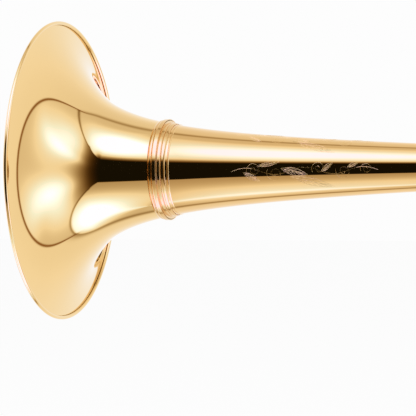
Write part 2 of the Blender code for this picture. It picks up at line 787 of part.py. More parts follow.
def brace(name, ends, width, parent, x, turn=(0.0, 0.0, 0.0), look="yellow_brass"):
    """A rod between two collars that ring tubes along X.

    ends gives (radius at the front, radius at the back) of the tube at each end; the first tube lies
    at the frame's origin and the second one width below it, before the frame is turned about X.
    """
    half = BRACE_COLLAR_LENGTH / 2.0
    collars = []
    for (front, back), drop in zip(ends, (0.0, -width)):
        front_bore = clear_bore(front + GAP, COLLAR_SIDES)
        back_bore = clear_bore(back + GAP, COLLAR_SIDES)
        profile = [
            (-half, front_bore),
            (half, back_bore),
            (half, back_bore + BRACE_COLLAR_WALL),
            (-half, front_bore + BRACE_COLLAR_WALL),
        ]
        collars.append(moved(turned(profile, COLLAR_SIDES), Matrix.Translation((0.0, 0.0, drop))))
    top = max(ends[0]) + GAP + BRACE_SINK
    bottom = width - max(ends[1]) - GAP - BRACE_SINK
    middle = (top + bottom) / 2.0
    swell = BRACE_ROD_RADIUS * BRACE_SWELL
    profile = [
        (top, 0.0),
        (top, swell),
        (top + BRACE_FOOT, BRACE_ROD_RADIUS),
        (middle - BRACE_BEAD, BRACE_ROD_RADIUS),
        (middle, swell),
        (middle + BRACE_BEAD, BRACE_ROD_RADIUS),
        (bottom - BRACE_FOOT, BRACE_ROD_RADIUS),
        (bottom, swell),
        (bottom, 0.0),
    ]
    piece = place(name, collars[0], look, parent, (x, 0.0, 0.0), turn)
    combine(piece, turned(profile, SMALL_SIDES), "UNION", rotation=(0.0, math.pi / 2.0, 0.0))
    combine(piece, collars[1], "UNION")
    return piece


def make_bell_braces(gooseneck):
    for name, x, top_radius in (
        ("bell_brace_front", BELL_BRACE_FRONT_X, RECEIVER_BODY_RADIUS),
        ("bell_brace_rear", BELL_BRACE_REAR_X, MAIN_RADIUS),
    ):
        reach = BRACE_COLLAR_LENGTH / 2.0
        front = stem_radius(x - reach - BELL_RIM_X)
        back = stem_radius(x + reach - BELL_RIM_X)
        brace(name, ((top_radius, top_radius), (front, back)), BELL_DROP, gooseneck, x)


def make_receiver(gooseneck):
    """Socket for the slide's tenon, with the male thread for the lock nut, and the neckpipe behind it."""
    thread_end = RECEIVER_THREAD_LENGTH
    ring_end = thread_end + RECEIVER_RING_LENGTH
    end_ring = RECEIVER_LENGTH - RECEIVER_RING_LENGTH
    neck_end = VALVE_1_X - PORT_REACH - GAP / 2.0
    profile = [
        (0.0, RECEIVER_MOUTH_RADIUS),
        (RECEIVER_SOCKET_DEPTH, RECEIVER_END_RADIUS),
        (RECEIVER_SOCKET_DEPTH, MAIN_BORE),
        (neck_end, MAIN_BORE),
        (neck_end, MAIN_RADIUS),
        (RECEIVER_LENGTH, MAIN_RADIUS),
        (RECEIVER_LENGTH, RECEIVER_BODY_RADIUS),
        (RECEIVER_LENGTH - RECEIVER_RING_LENGTH / 2.0, RECEIVER_BODY_RADIUS + RECEIVER_END_BEAD),
        (end_ring, RECEIVER_BODY_RADIUS),
        (ring_end, RECEIVER_BODY_RADIUS),
        (ring_end, RECEIVER_RING_RADIUS - RECEIVER_RING_EDGE),
        (ring_end - RECEIVER_RING_CHAMFER, RECEIVER_RING_RADIUS),
        (thread_end + RECEIVER_RING_CHAMFER, RECEIVER_RING_RADIUS),
        (thread_end, RECEIVER_RING_RADIUS - RECEIVER_RING_EDGE),
        (thread_end, RECEIVER_THREAD_RADIUS),
        (0.0, RECEIVER_THREAD_RADIUS),
    ]
    piece = place("slide_receiver", turned(profile, RING_SIDES), "nickel_silver", gooseneck)
    combine(piece, ferrule((VALVE_1_X - PORT_REACH, 0.0, 0.0), -1.0), "UNION")


def knuckle(x_sign, z_sign, radius, extra, sides):
    """One port tube: out of the rotor at 45 degrees, then round to run along X."""
    direction = Vector((x_sign, 0.0, z_sign)).normalized()
    route = Route(direction * KNUCKLE_ROOT, direction, Y_AXIS.cross(direction), 0.0, radius)
    route.straight(KNUCKLE_START - KNUCKLE_ROOT)
    route.bend(math.radians(45.0), KNUCKLE_BEND, Y_AXIS * x_sign * z_sign, KNUCKLE_STEPS)
    if extra > 0.0:
        route.straight(extra)
    return bent_rod(route, sides)


def make_valve_body(number, valve, side):
    """Casing with its four knuckles, rotor, rear bearing plate and screw cap.

    The spindle lies along the valve's Y axis, and side says on which end the stop arm sits.
    """
    corners = [(x, z) for x in (-1.0, 1.0) for z in (-1.0, 1.0)]
    turn = (0.0, 0.0, -side * math.pi / 2.0)
    half = CASING_HALF
    shell = moved(rod(-half, half, CASING_RADIUS, ROTOR_SIDES), Matrix.Rotation(CASING_FACET_TURN, 4, "X"))
    casing = place(f"valve_{number}_casing", shell, "yellow_brass", valve, rotation=turn)
    unturn = (0.0, 0.0, side * math.pi / 2.0)
    for x, z in corners:
        combine(casing, knuckle(x, z, MAIN_RADIUS, 0.0, KNUCKLE_SIDES), "UNION", rotation=unturn)
    if number == 1:
        next_valve = (PORT_REACH + GAP / 2.0, 0.0, VALVE_DROP)
        combine(casing, ferrule(next_valve, -1.0, KNUCKLE_SIDES), "UNION", rotation=unturn)
    else:
        grip = PORT_REACH - SLEEVE_GRIP
        profile = [
            (grip, (MAIN_BORE + MAIN_RADIUS) / 2.0),
            (PORT_REACH, (MAIN_BORE + MAIN_RADIUS) / 2.0),
            (PORT_REACH, SLEEVE_BORE),
            (grip + SLEEVE_LENGTH, SLEEVE_BORE),
            (grip + SLEEVE_LENGTH, SLEEVE_RADIUS),
            (grip, SLEEVE_RADIUS),
        ]
        sleeve = moved(turned(profile, KNUCKLE_SIDES), Matrix.Translation((0.0, 0.0, -VALVE_DROP)))
        combine(casing, sleeve, "UNION", rotation=unturn)
    bore_top = ROTOR_LENGTH / 2.0 + GAP
    bore = rod(-half - CUT_PAST, bore_top, ROTOR_RADIUS + GAP, ROTOR_SIDES)
    combine(casing, bore, "DIFFERENCE")
    for x, z in corners:
        port = knuckle(x, z, MAIN_BORE, CUT_PAST, PORT_SIDES)
        combine(casing, port, "DIFFERENCE", rotation=unturn)
    hole = rod(bore_top - CUT_PAST, half + CUT_PAST, SPINDLE_RADIUS + TURN_FIT, ROTOR_SIDES)
    combine(casing, hole, "DIFFERENCE")
    for angle in bumper_angles():
        post = rod(half - BUMPER_POST_ROOT, half + BUMPER_HEIGHT, BUMPER_POST_RADIUS)
        combine(casing, post, "UNION", location=spoke(angle, BUMPER_CIRCLE, side))

    half_rotor = ROTOR_LENGTH / 2.0
    profile = [
        (-half_rotor - BEARING_PLATE - GAP, 0.0),
        (-half_rotor - BEARING_PLATE - GAP, SPINDLE_RADIUS),
        (-half_rotor, SPINDLE_RADIUS),
        (-half_rotor, ROTOR_RADIUS),
        (half_rotor, ROTOR_RADIUS),
        (half_rotor, SPINDLE_RADIUS),
        (half_rotor + SPINDLE_RISE, SPINDLE_RADIUS),
        (half_rotor + SPINDLE_RISE, 0.0),
    ]
    body = turned(profile, ROTOR_SIDES)
    rotor = place(f"valve_{number}_rotor", body, "nickel_silver", valve, rotation=turn)
    for z in (-1.0, 1.0):
        combine(rotor, rotor_passage(z), "DIFFERENCE", rotation=unturn)

    plate_start = -half_rotor - GAP
    plate_bore = SPINDLE_RADIUS + TURN_FIT
    plate = pipe(plate_start - BEARING_PLATE, plate_start, plate_bore, ROTOR_RADIUS, ROTOR_SIDES)
    place(f"valve_{number}_bearing_plate", plate, "nickel_silver", valve, rotation=turn)

    cap_end = -half - GAP - CAP_WALL
    profile = [
        (cap_end - CAP_DOME, 0.0),
        (cap_end - CAP_DOME, CAP_DOME_RADIUS),
        (cap_end, CAP_RADIUS - CAP_CHAMFER),
        (cap_end + CAP_CHAMFER, CAP_RADIUS),
        (cap_end + CAP_DEPTH, CAP_RADIUS),
        (cap_end + CAP_DEPTH, CASING_RADIUS + GAP),
        (cap_end + CAP_WALL, CASING_RADIUS + GAP),
        (cap_end + CAP_WALL, 0.0),
    ]
    place(f"valve_{number}_cap", turned(profile, ROTOR_SIDES), "nickel_silver", valve, rotation=turn)


def rotor_passage(z):
    """A quarter ring that joins two neighbouring ports, run a little past the rotor's skin."""
    start = Vector((-1.0, 0.0, z)).normalized() * (ROTOR_RADIUS + PASSAGE_PAST)
    heading = Vector((1.0, 0.0, -z)).normalized()
    route = Route(start, heading, Y_AXIS.cross(heading), 0.0, MAIN_BORE).straight(PASSAGE_PAST)
    route.bend(math.radians(90.0), ROTOR_RADIUS, Y_AXIS * -z, PASSAGE_STEPS).straight(PASSAGE_PAST)
    return bent_rod(route)


def bumper_angles():
    """Stop finger at rest and turned, each with its bumper just beyond."""
    return (STOP_REST_ANGLE - BUMPER_ANGLE, STOP_REST_ANGLE + VALVE_TURN + BUMPER_ANGLE)


def spoke(angle, radius, side):
    """Where an angle in the valve's XZ plane lies in a frame whose X axis is the spindle."""
    return (0.0, side * radius * math.cos(angle), radius * math.sin(angle))


def make_stop_arm(number, valve, side):
    """Hub on the spindle, with a finger between the bumpers and an arm to the link rod."""
    turn = (0.0, 0.0, -side * math.pi / 2.0)
    low = CASING_HALF + 2.0 * GAP
    high = low + STOP_ARM_THICKNESS
    hub = pipe(low, high, SPINDLE_RADIUS + GAP, STOP_HUB_RADIUS, RING_SIDES)
    arm = place(f"valve_{number}_stop_arm", hub, "nickel_silver", valve, rotation=turn)
    inner = SPINDLE_RADIUS + STOP_HUB_WALL_LAP
    half = STOP_ARM_WIDTH / 2.0
    finger = block((low + INSET, inner, -half), (high - INSET, BUMPER_CIRCLE + STOP_FINGER_PAST, half))
    combine(arm, finger, "UNION", rotation=(spindle_turn(STOP_REST_ANGLE, side), 0.0, 0.0))
    link = block((low + INSET, inner, -half), (high - INSET, STOP_PIN_RADIUS, half))
    combine(arm, link, "UNION", rotation=(spindle_turn(STOP_LINK_ANGLE, side), 0.0, 0.0))
    eye = rod(low, high, ROD_EYE_RADIUS, TUBE_SIDES)
    combine(arm, eye, "UNION", location=spoke(STOP_LINK_ANGLE, STOP_PIN_RADIUS, side))


def spindle_turn(angle, side):
    """Turn about the spindle that brings the frame's Y axis to an angle in the valve's XZ plane."""
    _, y, z = spoke(angle, 1.0, side)
    return math.atan2(z, y)


def make_link_rod(number, pivot, side, length):
    """Rod with an eye and a screw head at each end, in its lever pin's frame."""
    base = LEVER_LAYER + LEVER_THICKNESS + GAP
    top = base + ROD_EYE_THICKNESS
    turn = (0.0, 0.0, -side * math.pi / 2.0)
    eyes = []
    for x in (0.0, length):
        profile = [
            (base, 0.0),
            (base, ROD_EYE_RADIUS),
            (top, ROD_EYE_RADIUS),
            (top, SCREW_HEAD_RADIUS),
            (top + SCREW_HEAD_HEIGHT, SCREW_HEAD_RADIUS - SCREW_HEAD_TAPER),
            (top + SCREW_HEAD_HEIGHT, 0.0),
        ]
        eyes.append((turned(profile, TUBE_SIDES), (0.0, side * x, 0.0)))
    piece = place(f"valve_{number}_link_rod", eyes[0][0], "steel", pivot, rotation=turn)
    middle = (base + top) / 2.0
    reach = ROD_EYE_RADIUS - ROD_LAP
    shaft = rod(reach, length - reach, ROD_RADIUS)
    combine(piece, shaft, "UNION", (middle, 0.0, 0.0), (0.0, 0.0, side * math.pi / 2.0))
    combine(piece, eyes[1][0], "UNION", location=eyes[1][1])


def make_lever(number, pivot, side):
    """Lever whose short arm drives the link and whose long arm ends in a paddle."""
    turn = (0.0, 0.0, -side * math.pi / 2.0)
    high = LEVER_LAYER + LEVER_THICKNESS
    low = high - LEVER_BARREL_LENGTH
    barrel = pipe(low, high, LEVER_PIN_RADIUS + GAP, LEVER_BARREL_RADIUS, TUBE_SIDES)
    lever = place(f"valve_{number}_lever", barrel, "nickel_silver", pivot, rotation=turn)
    half = LEVER_ARM_WIDTH / 2.0
    inner = LEVER_BARREL_RADIUS - LEVER_BARREL_LAP
    arm = block((LEVER_LAYER + INSET, inner, -half), (high - INSET, LEVER_SHORT_ARM, half))
    short = math.radians(270.0) - LEVER_TURN / 2.0
    combine(lever, arm, "UNION", rotation=(spindle_turn(short, side), 0.0, 0.0))
    eye = rod(LEVER_LAYER, high, ROD_EYE_RADIUS, TUBE_SIDES)
    combine(lever, eye, "UNION", location=spoke(short, LEVER_SHORT_ARM, side))
    unturn = (0.0, 0.0, side * math.pi / 2.0)
    rear = -(PADDLE_REACH - PADDLE_LENGTH / 2.0)
    near = (rear - PADDLE_LAP, -side * (low + INSET), -LEVER_NECK_BELOW)
    far = (-inner, -side * (low + LEVER_THICKNESS), LEVER_NECK_ABOVE)
    combine(lever, sorted_block(near, far), "UNION", rotation=unturn)
    riser = sorted_block((rear - RISER_LENGTH, -side * (low + 2.0 * INSET), -PADDLE_LAP),
                         (rear, -side * (low + LEVER_THICKNESS - INSET), PADDLE_RISE - INSET))
    combine(lever, riser, "UNION", rotation=unturn)
    paddle_near = low + PADDLE_NEAR_STEP
    paddle = sorted_block((rear - PADDLE_LENGTH, -side * paddle_near, PADDLE_RISE - PADDLE_THICKNESS),
                          (rear - PADDLE_LAP, -side * (paddle_near + PADDLE_WIDTH), PADDLE_RISE))
    bmesh.ops.bevel(paddle, geom=upright_edges(paddle), offset=PADDLE_CORNER, segments=3, profile=0.5,
                    affect="EDGES")
    combine(lever, paddle, "UNION", rotation=unturn)


def sorted_block(first, second):
    low = [min(a, b) for a, b in zip(first, second)]
    high = [max(a, b) for a, b in zip(first, second)]
    return block(low, high)


def upright_edges(mesh):
    upright = []
    for edge in mesh.edges:
        along = edge.verts[1].co - edge.verts[0].co
        if math.hypot(along.x, along.y) < MERGE_DISTANCE:
            upright.append(edge)
    return upright


def saddle_shapes(side):
    """Collar round the neckpipe and two posts under a bridge, in the lever pivot's frame."""
    axis_drop = VALVE_DROP - LEVER_PIVOT_RISE
    collar_bore = clear_bore(MAIN_RADIUS + GAP, COLLAR_SIDES)
    collar_radius = collar_bore + SADDLE_WALL / 2.0
    reach = SADDLE_LENGTH / 2.0
    collar = moved(pipe(-reach, reach, collar_bore, collar_radius, COLLAR_SIDES),
                   Matrix.Translation((0.0, 0.0, axis_drop)))
    high = LEVER_LAYER + LEVER_THICKNESS
    low = high - LEVER_BARREL_LENGTH
    half = LEVER_BARREL_RADIUS
    top = LEVER_BARREL_RADIUS + SADDLE_CLEARANCE
    inner = sorted_block((-half, side * -(low - GAP), -half),
                         (half, side * -(collar_bore + SADDLE_SINK), top + SADDLE_WALL))
    outer_low = high + 2.0 * GAP + ROD_EYE_THICKNESS
    outer = sorted_block((-half, side * -outer_low, -half),
                         (half, side * -(outer_low + SADDLE_WALL), top + SADDLE_WALL))
    bridge = sorted_block((-half, side * -(low - SADDLE_WALL), top),
                          (half, side * -(outer_low + SADDLE_WALL), top + SADDLE_WALL))
    return collar, (inner, outer, bridge), (low, outer_low)


def make_valve_levers(valves):
    """Levers and links of both valves, and the saddle on the neckpipe that carries the levers."""
    saddle = None
    for number, valve, valve_x, side in valves:
        neck = valve.parent
        pivot_place = (LEVER_PIVOT_X - valve_x, 0.0, LEVER_PIVOT_RISE)
        pivot = frame(f"valve_{number}_lever_pivot", valve, pivot_place)
        link = frame(f"valve_{number}_link_pivot", pivot,
                     (-STOP_PIN_OFFSET, 0.0, -LEVER_PIVOT_RISE - STOP_PIN_OFFSET))
        make_stop_arm(number, valve, side)
        make_lever(number, pivot, side)
        make_link_rod(number, link, side, valve_x - LEVER_PIVOT_X)
        to_neck = valve_matrix(valve_x, side) @ Matrix.Translation(pivot_place)
        collar, shapes, (low, outer_low) = saddle_shapes(side)
        pin_axis = to_neck @ Matrix.Rotation(-side * math.pi / 2.0, 4, "Z")
        if saddle is None:
            saddle = place("lever_saddle", moved(collar, to_neck), "yellow_brass", neck)
        else:
            collar.free()
        for shape in shapes:
            combine(saddle, moved(shape, to_neck), "UNION")
        pin = rod(low - PIN_LAP, outer_low + PIN_LAP, LEVER_PIN_RADIUS)
        combine(saddle, moved(pin, pin_axis), "UNION")
        spring_end = LEVER_LAYER - SPRING_END_ROOM
        spring = coil(low + LEVER_SPRING_START, spring_end, LEVER_BARREL_RADIUS + SPRING_CLEARANCE)
        turn = (0.0, 0.0, -side * math.pi / 2.0)
        place(f"valve_{number}_lever_spring", spring, "steel", pivot, rotation=turn)


def valve_matrix(x, side):
    tilt = Matrix.Rotation(side_tilt(side), 4, "X")
    return Matrix.Translation((x, 0.0, 0.0)) @ tilt @ Matrix.Translation((0.0, 0.0, -VALVE_DROP))


def side_tilt(side):
    """The thumb valve (side 1) leans to -Y and the finger valve (side -1) to +Y."""
    return -side * VALVE_TILT


def coil(start, end, radius):
    """A round wire wound about the X axis."""
    mesh = bmesh.new()
    steps = SPRING_TURNS * COIL_STEPS
    rings = []
    for index in range(steps + 1):
        angle = 2.0 * math.pi * SPRING_TURNS * index / steps
        outward = Vector((0.0, math.cos(angle), math.sin(angle)))
        point = outward * clear_bore(radius, COIL_STEPS) + X_AXIS * (start + (end - start) * index / steps)
        heading = Vector((0.0, -math.sin(angle), math.cos(angle)))
        rings.append(circle(mesh, point, heading, X_AXIS, SPRING_WIRE_RADIUS, COIL_SIDES))
    skin(mesh, rings)
    mesh.faces.new(rings[0][::-1])
    mesh.faces.new(rings[-1])
    return closed(mesh)


def make_bumpers(valves):
    for number, valve, _, side in valves:
        spindle = frame(f"valve_{number}_spindle", valve, rotation=(0.0, 0.0, -side * math.pi / 2.0))
        for stop, angle in zip(("rest", "turned"), bumper_angles()):
            rubber = pipe(CASING_HALF + GAP, CASING_HALF + BUMPER_HEIGHT, BUMPER_POST_RADIUS + GAP,
                          BUMPER_RADIUS, SMALL_SIDES)
            seat = spoke(angle, BUMPER_CIRCLE, side)
            place(f"valve_{number}_{stop}_bumper", rubber, "rubber", spindle, seat)


def tuning_bow(name, start, bow_radius, legs, parent, side=Z_AXIS):
    """A tuning slide: two legs, their end rings and the bow between them.

    start is the front end of the first leg, the bow bends about Y down to the second leg, legs gives
    each leg's bore and radius, and side turns the facets to match the first leg's sleeve.
    """
    (first_bore, first_radius), (second_bore, second_radius) = legs
    ring_wall = SLIP_FIT + TUBE_WALL
    route = Route(start, X_AXIS, side, first_bore, first_radius).straight(SLIDE_LEG_LENGTH)
    route.step(first_bore, first_radius + ring_wall).straight(SLIDE_FERRULE_LENGTH)
    route.step(first_bore, first_radius)
    route.bend(math.pi, bow_radius, Y_AXIS, BOW_STEPS, second_bore, second_radius)
    route.step(second_bore, second_radius + ring_wall).straight(SLIDE_FERRULE_LENGTH)
    route.step(second_bore, second_radius).straight(SLIDE_LEG_LENGTH)
    return place(name, bent_pipe(route), "yellow_brass", parent), route


def bow_air(route):
    """The air in a tube along a route, a little thinner than its bore."""
    first = route.stations[0]
    air = Route(*first[:3], 0.0, first[3] - INSET)
    for point, heading, side, bore, _ in route.stations[1:]:
        if (point - air.stations[-1][0]).length > MERGE_DISTANCE:
            air.stations.append((point, heading, side, 0.0, bore - INSET))
    return bent_rod(air)


def make_loops(planes):
    """The two valve loops, each laid in its valve's leaning plane."""
    loop_1, loop_2 = planes
    depth = -LOOP_DEPTH
    butt = GAP / 2.0
    left_port = VALVE_1_X - PORT_REACH
    right_port = VALVE_1_X + PORT_REACH
    tube = (MAIN_BORE, MAIN_RADIUS)
    mouth = (SLEEVE_BORE, SLEEVE_RADIUS)

    upper = Route((LOOP_1_SLIDE_X, 0.0, depth), -X_AXIS, Z_AXIS, *mouth).sleeve()
    upper.straight(LOOP_1_SLIDE_X - SLEEVE_LENGTH - right_port - butt)
    piece = place("loop_1_upper_tube", bent_pipe(upper), "yellow_brass", loop_1)
    combine(piece, ferrule((right_port, 0.0, depth), 1.0), "UNION")

    lowest = depth - 2.0 * LOOP_1_BOW_RADIUS
    second = depth - LOOP_1_STEP
    third = lowest + LOOP_1_STEP
    joint = LOOP_1_INNER_BOW_X

    line = Route((joint - butt, LOOP_1_SIDE_STEP, third), -X_AXIS, Z_AXIS, *tube)
    line.straight(joint - butt - LOOP_1_OUTER_BOW_X)
    rise = Vector((0.0, -LOOP_1_SIDE_STEP, depth - third))
    line.bend(math.pi, rise.length / 2.0, rise.cross(X_AXIS))
    line.straight(left_port - butt - LOOP_1_OUTER_BOW_X)
    piece = place("loop_1_front_bow", bent_pipe(line), "yellow_brass", loop_1)
    combine(piece, ferrule((left_port, 0.0, depth), -1.0), "UNION")
    combine(piece, ferrule((joint, LOOP_1_SIDE_STEP, third), -1.0), "UNION")

    middle = Route((LOOP_1_SLIDE_X, 0.0, lowest), -X_AXIS, Z_AXIS, *mouth).sleeve()
    middle.straight(LOOP_1_SLIDE_X - SLEEVE_LENGTH - LOOP_1_LOWER_BOW_X)
    middle.bend(math.pi, (second - lowest) / 2.0, Y_AXIS)
    middle.straight(joint - LOOP_1_LOWER_BOW_X + FERRULE_LENGTH / 2.0)
    fall = Vector((0.0, LOOP_1_SIDE_STEP, third - second))
    middle.bend(math.pi, fall.length / 2.0, X_AXIS.cross(fall)).straight(FERRULE_LENGTH / 2.0 - butt)
    place("loop_1_middle_tube", bent_pipe(middle), "yellow_brass", loop_1)

    left_port = VALVE_2_X - PORT_REACH
    deep = depth - 2.0 * LOOP_2_BOW_RADIUS
    low_line = Route((LOOP_2_SLIDE_X, 0.0, deep), -X_AXIS, Z_AXIS, *mouth).sleeve()
    low_line.straight(LOOP_2_SLIDE_X - SLEEVE_LENGTH - LOOP_2_FRONT_BOW_X)
    low_line.bend(math.pi, LOOP_2_BOW_RADIUS, Y_AXIS).straight(left_port - butt - LOOP_2_FRONT_BOW_X)
    piece = place("loop_2_front_bow", bent_pipe(low_line), "yellow_brass", loop_2)
    combine(piece, ferrule((left_port, 0.0, depth), -1.0), "UNION")

    for number, plane, x, radius in (
        (1, loop_1, LOOP_1_SLIDE_X, LOOP_1_BOW_RADIUS),
        (2, loop_2, LOOP_2_SLIDE_X, LOOP_2_BOW_RADIUS),
    ):
        start = (x + GAP - SLIDE_LEG_LENGTH, 0.0, depth)
        tuning_bow(f"loop_{number}_tuning_slide", start, radius, (tube, tube), plane)


def make_wrap(neck):
    """Gooseneck with its rear bow, and the front bow that leads down to the return tube."""
    butt = GAP / 2.0
    start = VALVE_2_X + PORT_REACH + butt
    bow = Route((start, 0.0, 0.0), X_AXIS, Z_AXIS, MAIN_BORE, MAIN_RADIUS).straight(REAR_BOW_X - start)
    bow.bend(math.pi, WRAP_OFFSET / 2.0, Z_AXIS).straight(REAR_BOW_X - FRONT_BOW_X - butt)
    piece = place("gooseneck_bow", bent_pipe(bow), "yellow_brass", neck)
    combine(piece, ferrule((start - butt, 0.0, 0.0), 1.0), "UNION")
    rest = Route((BELL_TAIL_X, WRAP_OFFSET, -WRAP_DROP), -X_AXIS, Z_AXIS, SLEEVE_BORE, SLEEVE_RADIUS).sleeve()
    rest.straight(BELL_TAIL_X - SLEEVE_LENGTH - FRONT_BOW_X)
    rest.bend(math.pi, WRAP_DROP / 2.0, Y_AXIS).straight(butt)
    piece = place("lower_return_tube", bent_pipe(rest), "yellow_brass", neck)
    combine(piece, ferrule((FRONT_BOW_X, WRAP_OFFSET, 0.0), -1.0), "UNION")


def make_main_tuning_slide(neck):
    """Bow from the lower return tube to the bell stem, in the plane of those two tubes."""
    across = Vector((0.0, -WRAP_OFFSET, WRAP_DROP - BELL_DROP))
    tilt = math.atan2(across.y, -across.z)
    stem_leg = TAIL_RADIUS - BELL_WALL - SLIP_FIT
    legs = ((MAIN_BORE, MAIN_RADIUS), (stem_leg - TUBE_WALL, stem_leg))
    wrap_end = frame("main_tuning_slide_axis", neck, (0.0, WRAP_OFFSET, -WRAP_DROP), (tilt, 0.0, 0.0))
    start = (BELL_TAIL_X + GAP - SLIDE_LEG_LENGTH, 0.0, 0.0)
    side = Matrix.Rotation(-tilt, 3, "X") @ Z_AXIS
    bow_radius = across.length / 2.0
    piece, route = tuning_bow("main_tuning_slide", start, bow_radius, legs, wrap_end, side)
    bow_inset = bow_radius - math.sqrt(bow_radius ** 2 - MAIN_BAR_REACH ** 2)
    bar = rod(bow_inset, across.length - bow_inset, SLIDE_BRACE_RADIUS)
    combine(piece, bar, "UNION", (MAIN_BAR_X, 0.0, 0.0), (0.0, math.pi / 2.0, 0.0))
    combine(piece, bow_air(route), "DIFFERENCE")


def make_wrap_brace(neck):
    """Brace between the two return tubes."""
    same = ((MAIN_RADIUS, MAIN_RADIUS), (MAIN_RADIUS, MAIN_RADIUS))
    post = frame("wrap_axis", neck, (0.0, WRAP_OFFSET, 0.0))
    brace("wrap_brace", same, WRAP_DROP, post, WRAP_BRACE_X)


def make_inner_slide(slide, mouth):
    """Inner tubes with stockings, the bell side's tenon, lock nut, cork barrels and left-hand grip."""
    neck = RECEIVER_MOUTH_RADIUS - 2.0 * GAP - TENON_NECK_RELIEF
    end = RECEIVER_END_RADIUS - GAP
    bore = INNER_TUBE_RADIUS + GAP
    shoulder = INNER_TUBE_FRONT + STOCKING_LENGTH
    stocking = [
        (shoulder + STOCKING_STEP, INNER_TUBE_RADIUS),
        (shoulder, STOCKING_RADIUS),
        (INNER_TUBE_FRONT, STOCKING_RADIUS),
    ]
    tenon = [
        (INNER_TUBE_FRONT, SLIDE_BORE),
        (TENON_LENGTH, SLIDE_BORE),
        (TENON_LENGTH, end),
        (0.0, RECEIVER_MOUTH_RADIUS - GAP),
        (-GAP, RECEIVER_MOUTH_RADIUS - GAP),
        (-GAP, TENON_COLLAR_RADIUS),
        (-TENON_COLLAR_LENGTH, TENON_COLLAR_RADIUS),
        (-TENON_COLLAR_LENGTH, neck),
        (-TENON_NECK, neck),
        (-TENON_NECK, INNER_TUBE_RADIUS),
    ]
    place("inner_tube_bell_side", turned(tenon + stocking, SLIDE_SIDES), "chrome", slide)
    plain = [
        (INNER_TUBE_FRONT, SLIDE_BORE),
        (MOUTH_TUBE_REAR, SLIDE_BORE),
        (MOUTH_TUBE_REAR, INNER_TUBE_RADIUS),
    ]
    place("inner_tube_mouthpiece_side", turned(plain + stocking, SLIDE_SIDES), "chrome", mouth)

    profile = [
        (LOCK_NUT_FRONT, neck + TURN_FIT),
        (-TENON_COLLAR_LENGTH - GAP, neck + TURN_FIT),
        (-TENON_COLLAR_LENGTH - GAP, RECEIVER_THREAD_RADIUS + TURN_FIT),
        (LOCK_NUT_REAR, RECEIVER_THREAD_RADIUS + TURN_FIT),
        (LOCK_NUT_REAR, LOCK_NUT_RADIUS - LOCK_NUT_CHAMFER),
        (LOCK_NUT_REAR - LOCK_NUT_CHAMFER, LOCK_NUT_RADIUS),
        (LOCK_NUT_FRONT + LOCK_NUT_CONE, LOCK_NUT_RADIUS),
        (LOCK_NUT_FRONT, LOCK_NUT_RADIUS - LOCK_NUT_CONE),
    ]
    place("slide_lock_nut", turned(profile, RING_SIDES), "nickel_silver", slide)

    for name, axis in (("bell_side", slide), ("mouthpiece_side", mouth)):
        profile = [
            (BARREL_FRONT, BARREL_BORE),
            (BARREL_REAR - BARREL_END_WALL, BARREL_BORE),
            (BARREL_REAR - BARREL_END_WALL, bore),
            (BARREL_REAR, bore),
            (BARREL_REAR, BARREL_RADIUS),
            (BARREL_REAR - BARREL_BEAD_REACH, BARREL_RADIUS + BARREL_BEAD),
            (BARREL_REAR - 2.0 * BARREL_BEAD_REACH, BARREL_RADIUS),
            (BARREL_FRONT + 2.0 * BARREL_BEAD_REACH, BARREL_RADIUS),
            (BARREL_FRONT + BARREL_BEAD_REACH, BARREL_RADIUS + BARREL_BEAD),
            (BARREL_FRONT, BARREL_RADIUS),
        ]
        place(f"cork_barrel_{name}", turned(profile, SLIDE_SIDES), "nickel_silver", axis)
        cork_end = BARREL_REAR - BARREL_END_WALL - GAP
        cork = pipe(cork_end - CORK_LENGTH, cork_end, bore, BARREL_BORE - GAP, SLIDE_SIDES)
        place(f"barrel_cork_{name}", cork, "cork", axis)

    collar = (BARREL_RADIUS + GAP, GRIP_COLLAR_WALL, GRIP_COLLAR_LENGTH)
    hand_brace("slide_grip_brace", "yellow_brass", slide, GRIP_X, collar, GRIP_RADIUS)


def hand_brace(name, look, parent, x, collar, bar_radius):
    """A bar to hold between two collars, one round each side of the slide.

    collar gives its bore, wall and length.
    """
    bore, wall, length = collar
    half = length / 2.0
    first = pipe(-half, half, bore, bore + wall, SLIDE_SIDES)
    second = moved(pipe(-half, half, bore, bore + wall, SLIDE_SIDES),
                   Matrix.Translation((0.0, 0.0, -SLIDE_SPACING)))
    piece = place(name, first, look, parent, (x, 0.0, 0.0), (-math.pi / 2.0, 0.0, 0.0))
    start = bore + BRACE_SINK
    end = SLIDE_SPACING - start
    profile = [
        (start, 0.0),
        (start, bar_radius * BRACE_SWELL),
        (start + GRIP_FOOT, bar_radius),
        (end - GRIP_FOOT, bar_radius),
        (end, bar_radius * BRACE_SWELL),
        (end, 0.0),
    ]
    combine(piece, turned(profile, TUBE_SIDES), "UNION", rotation=(0.0, math.pi / 2.0, 0.0))
    combine(piece, second, "UNION")
    return piece


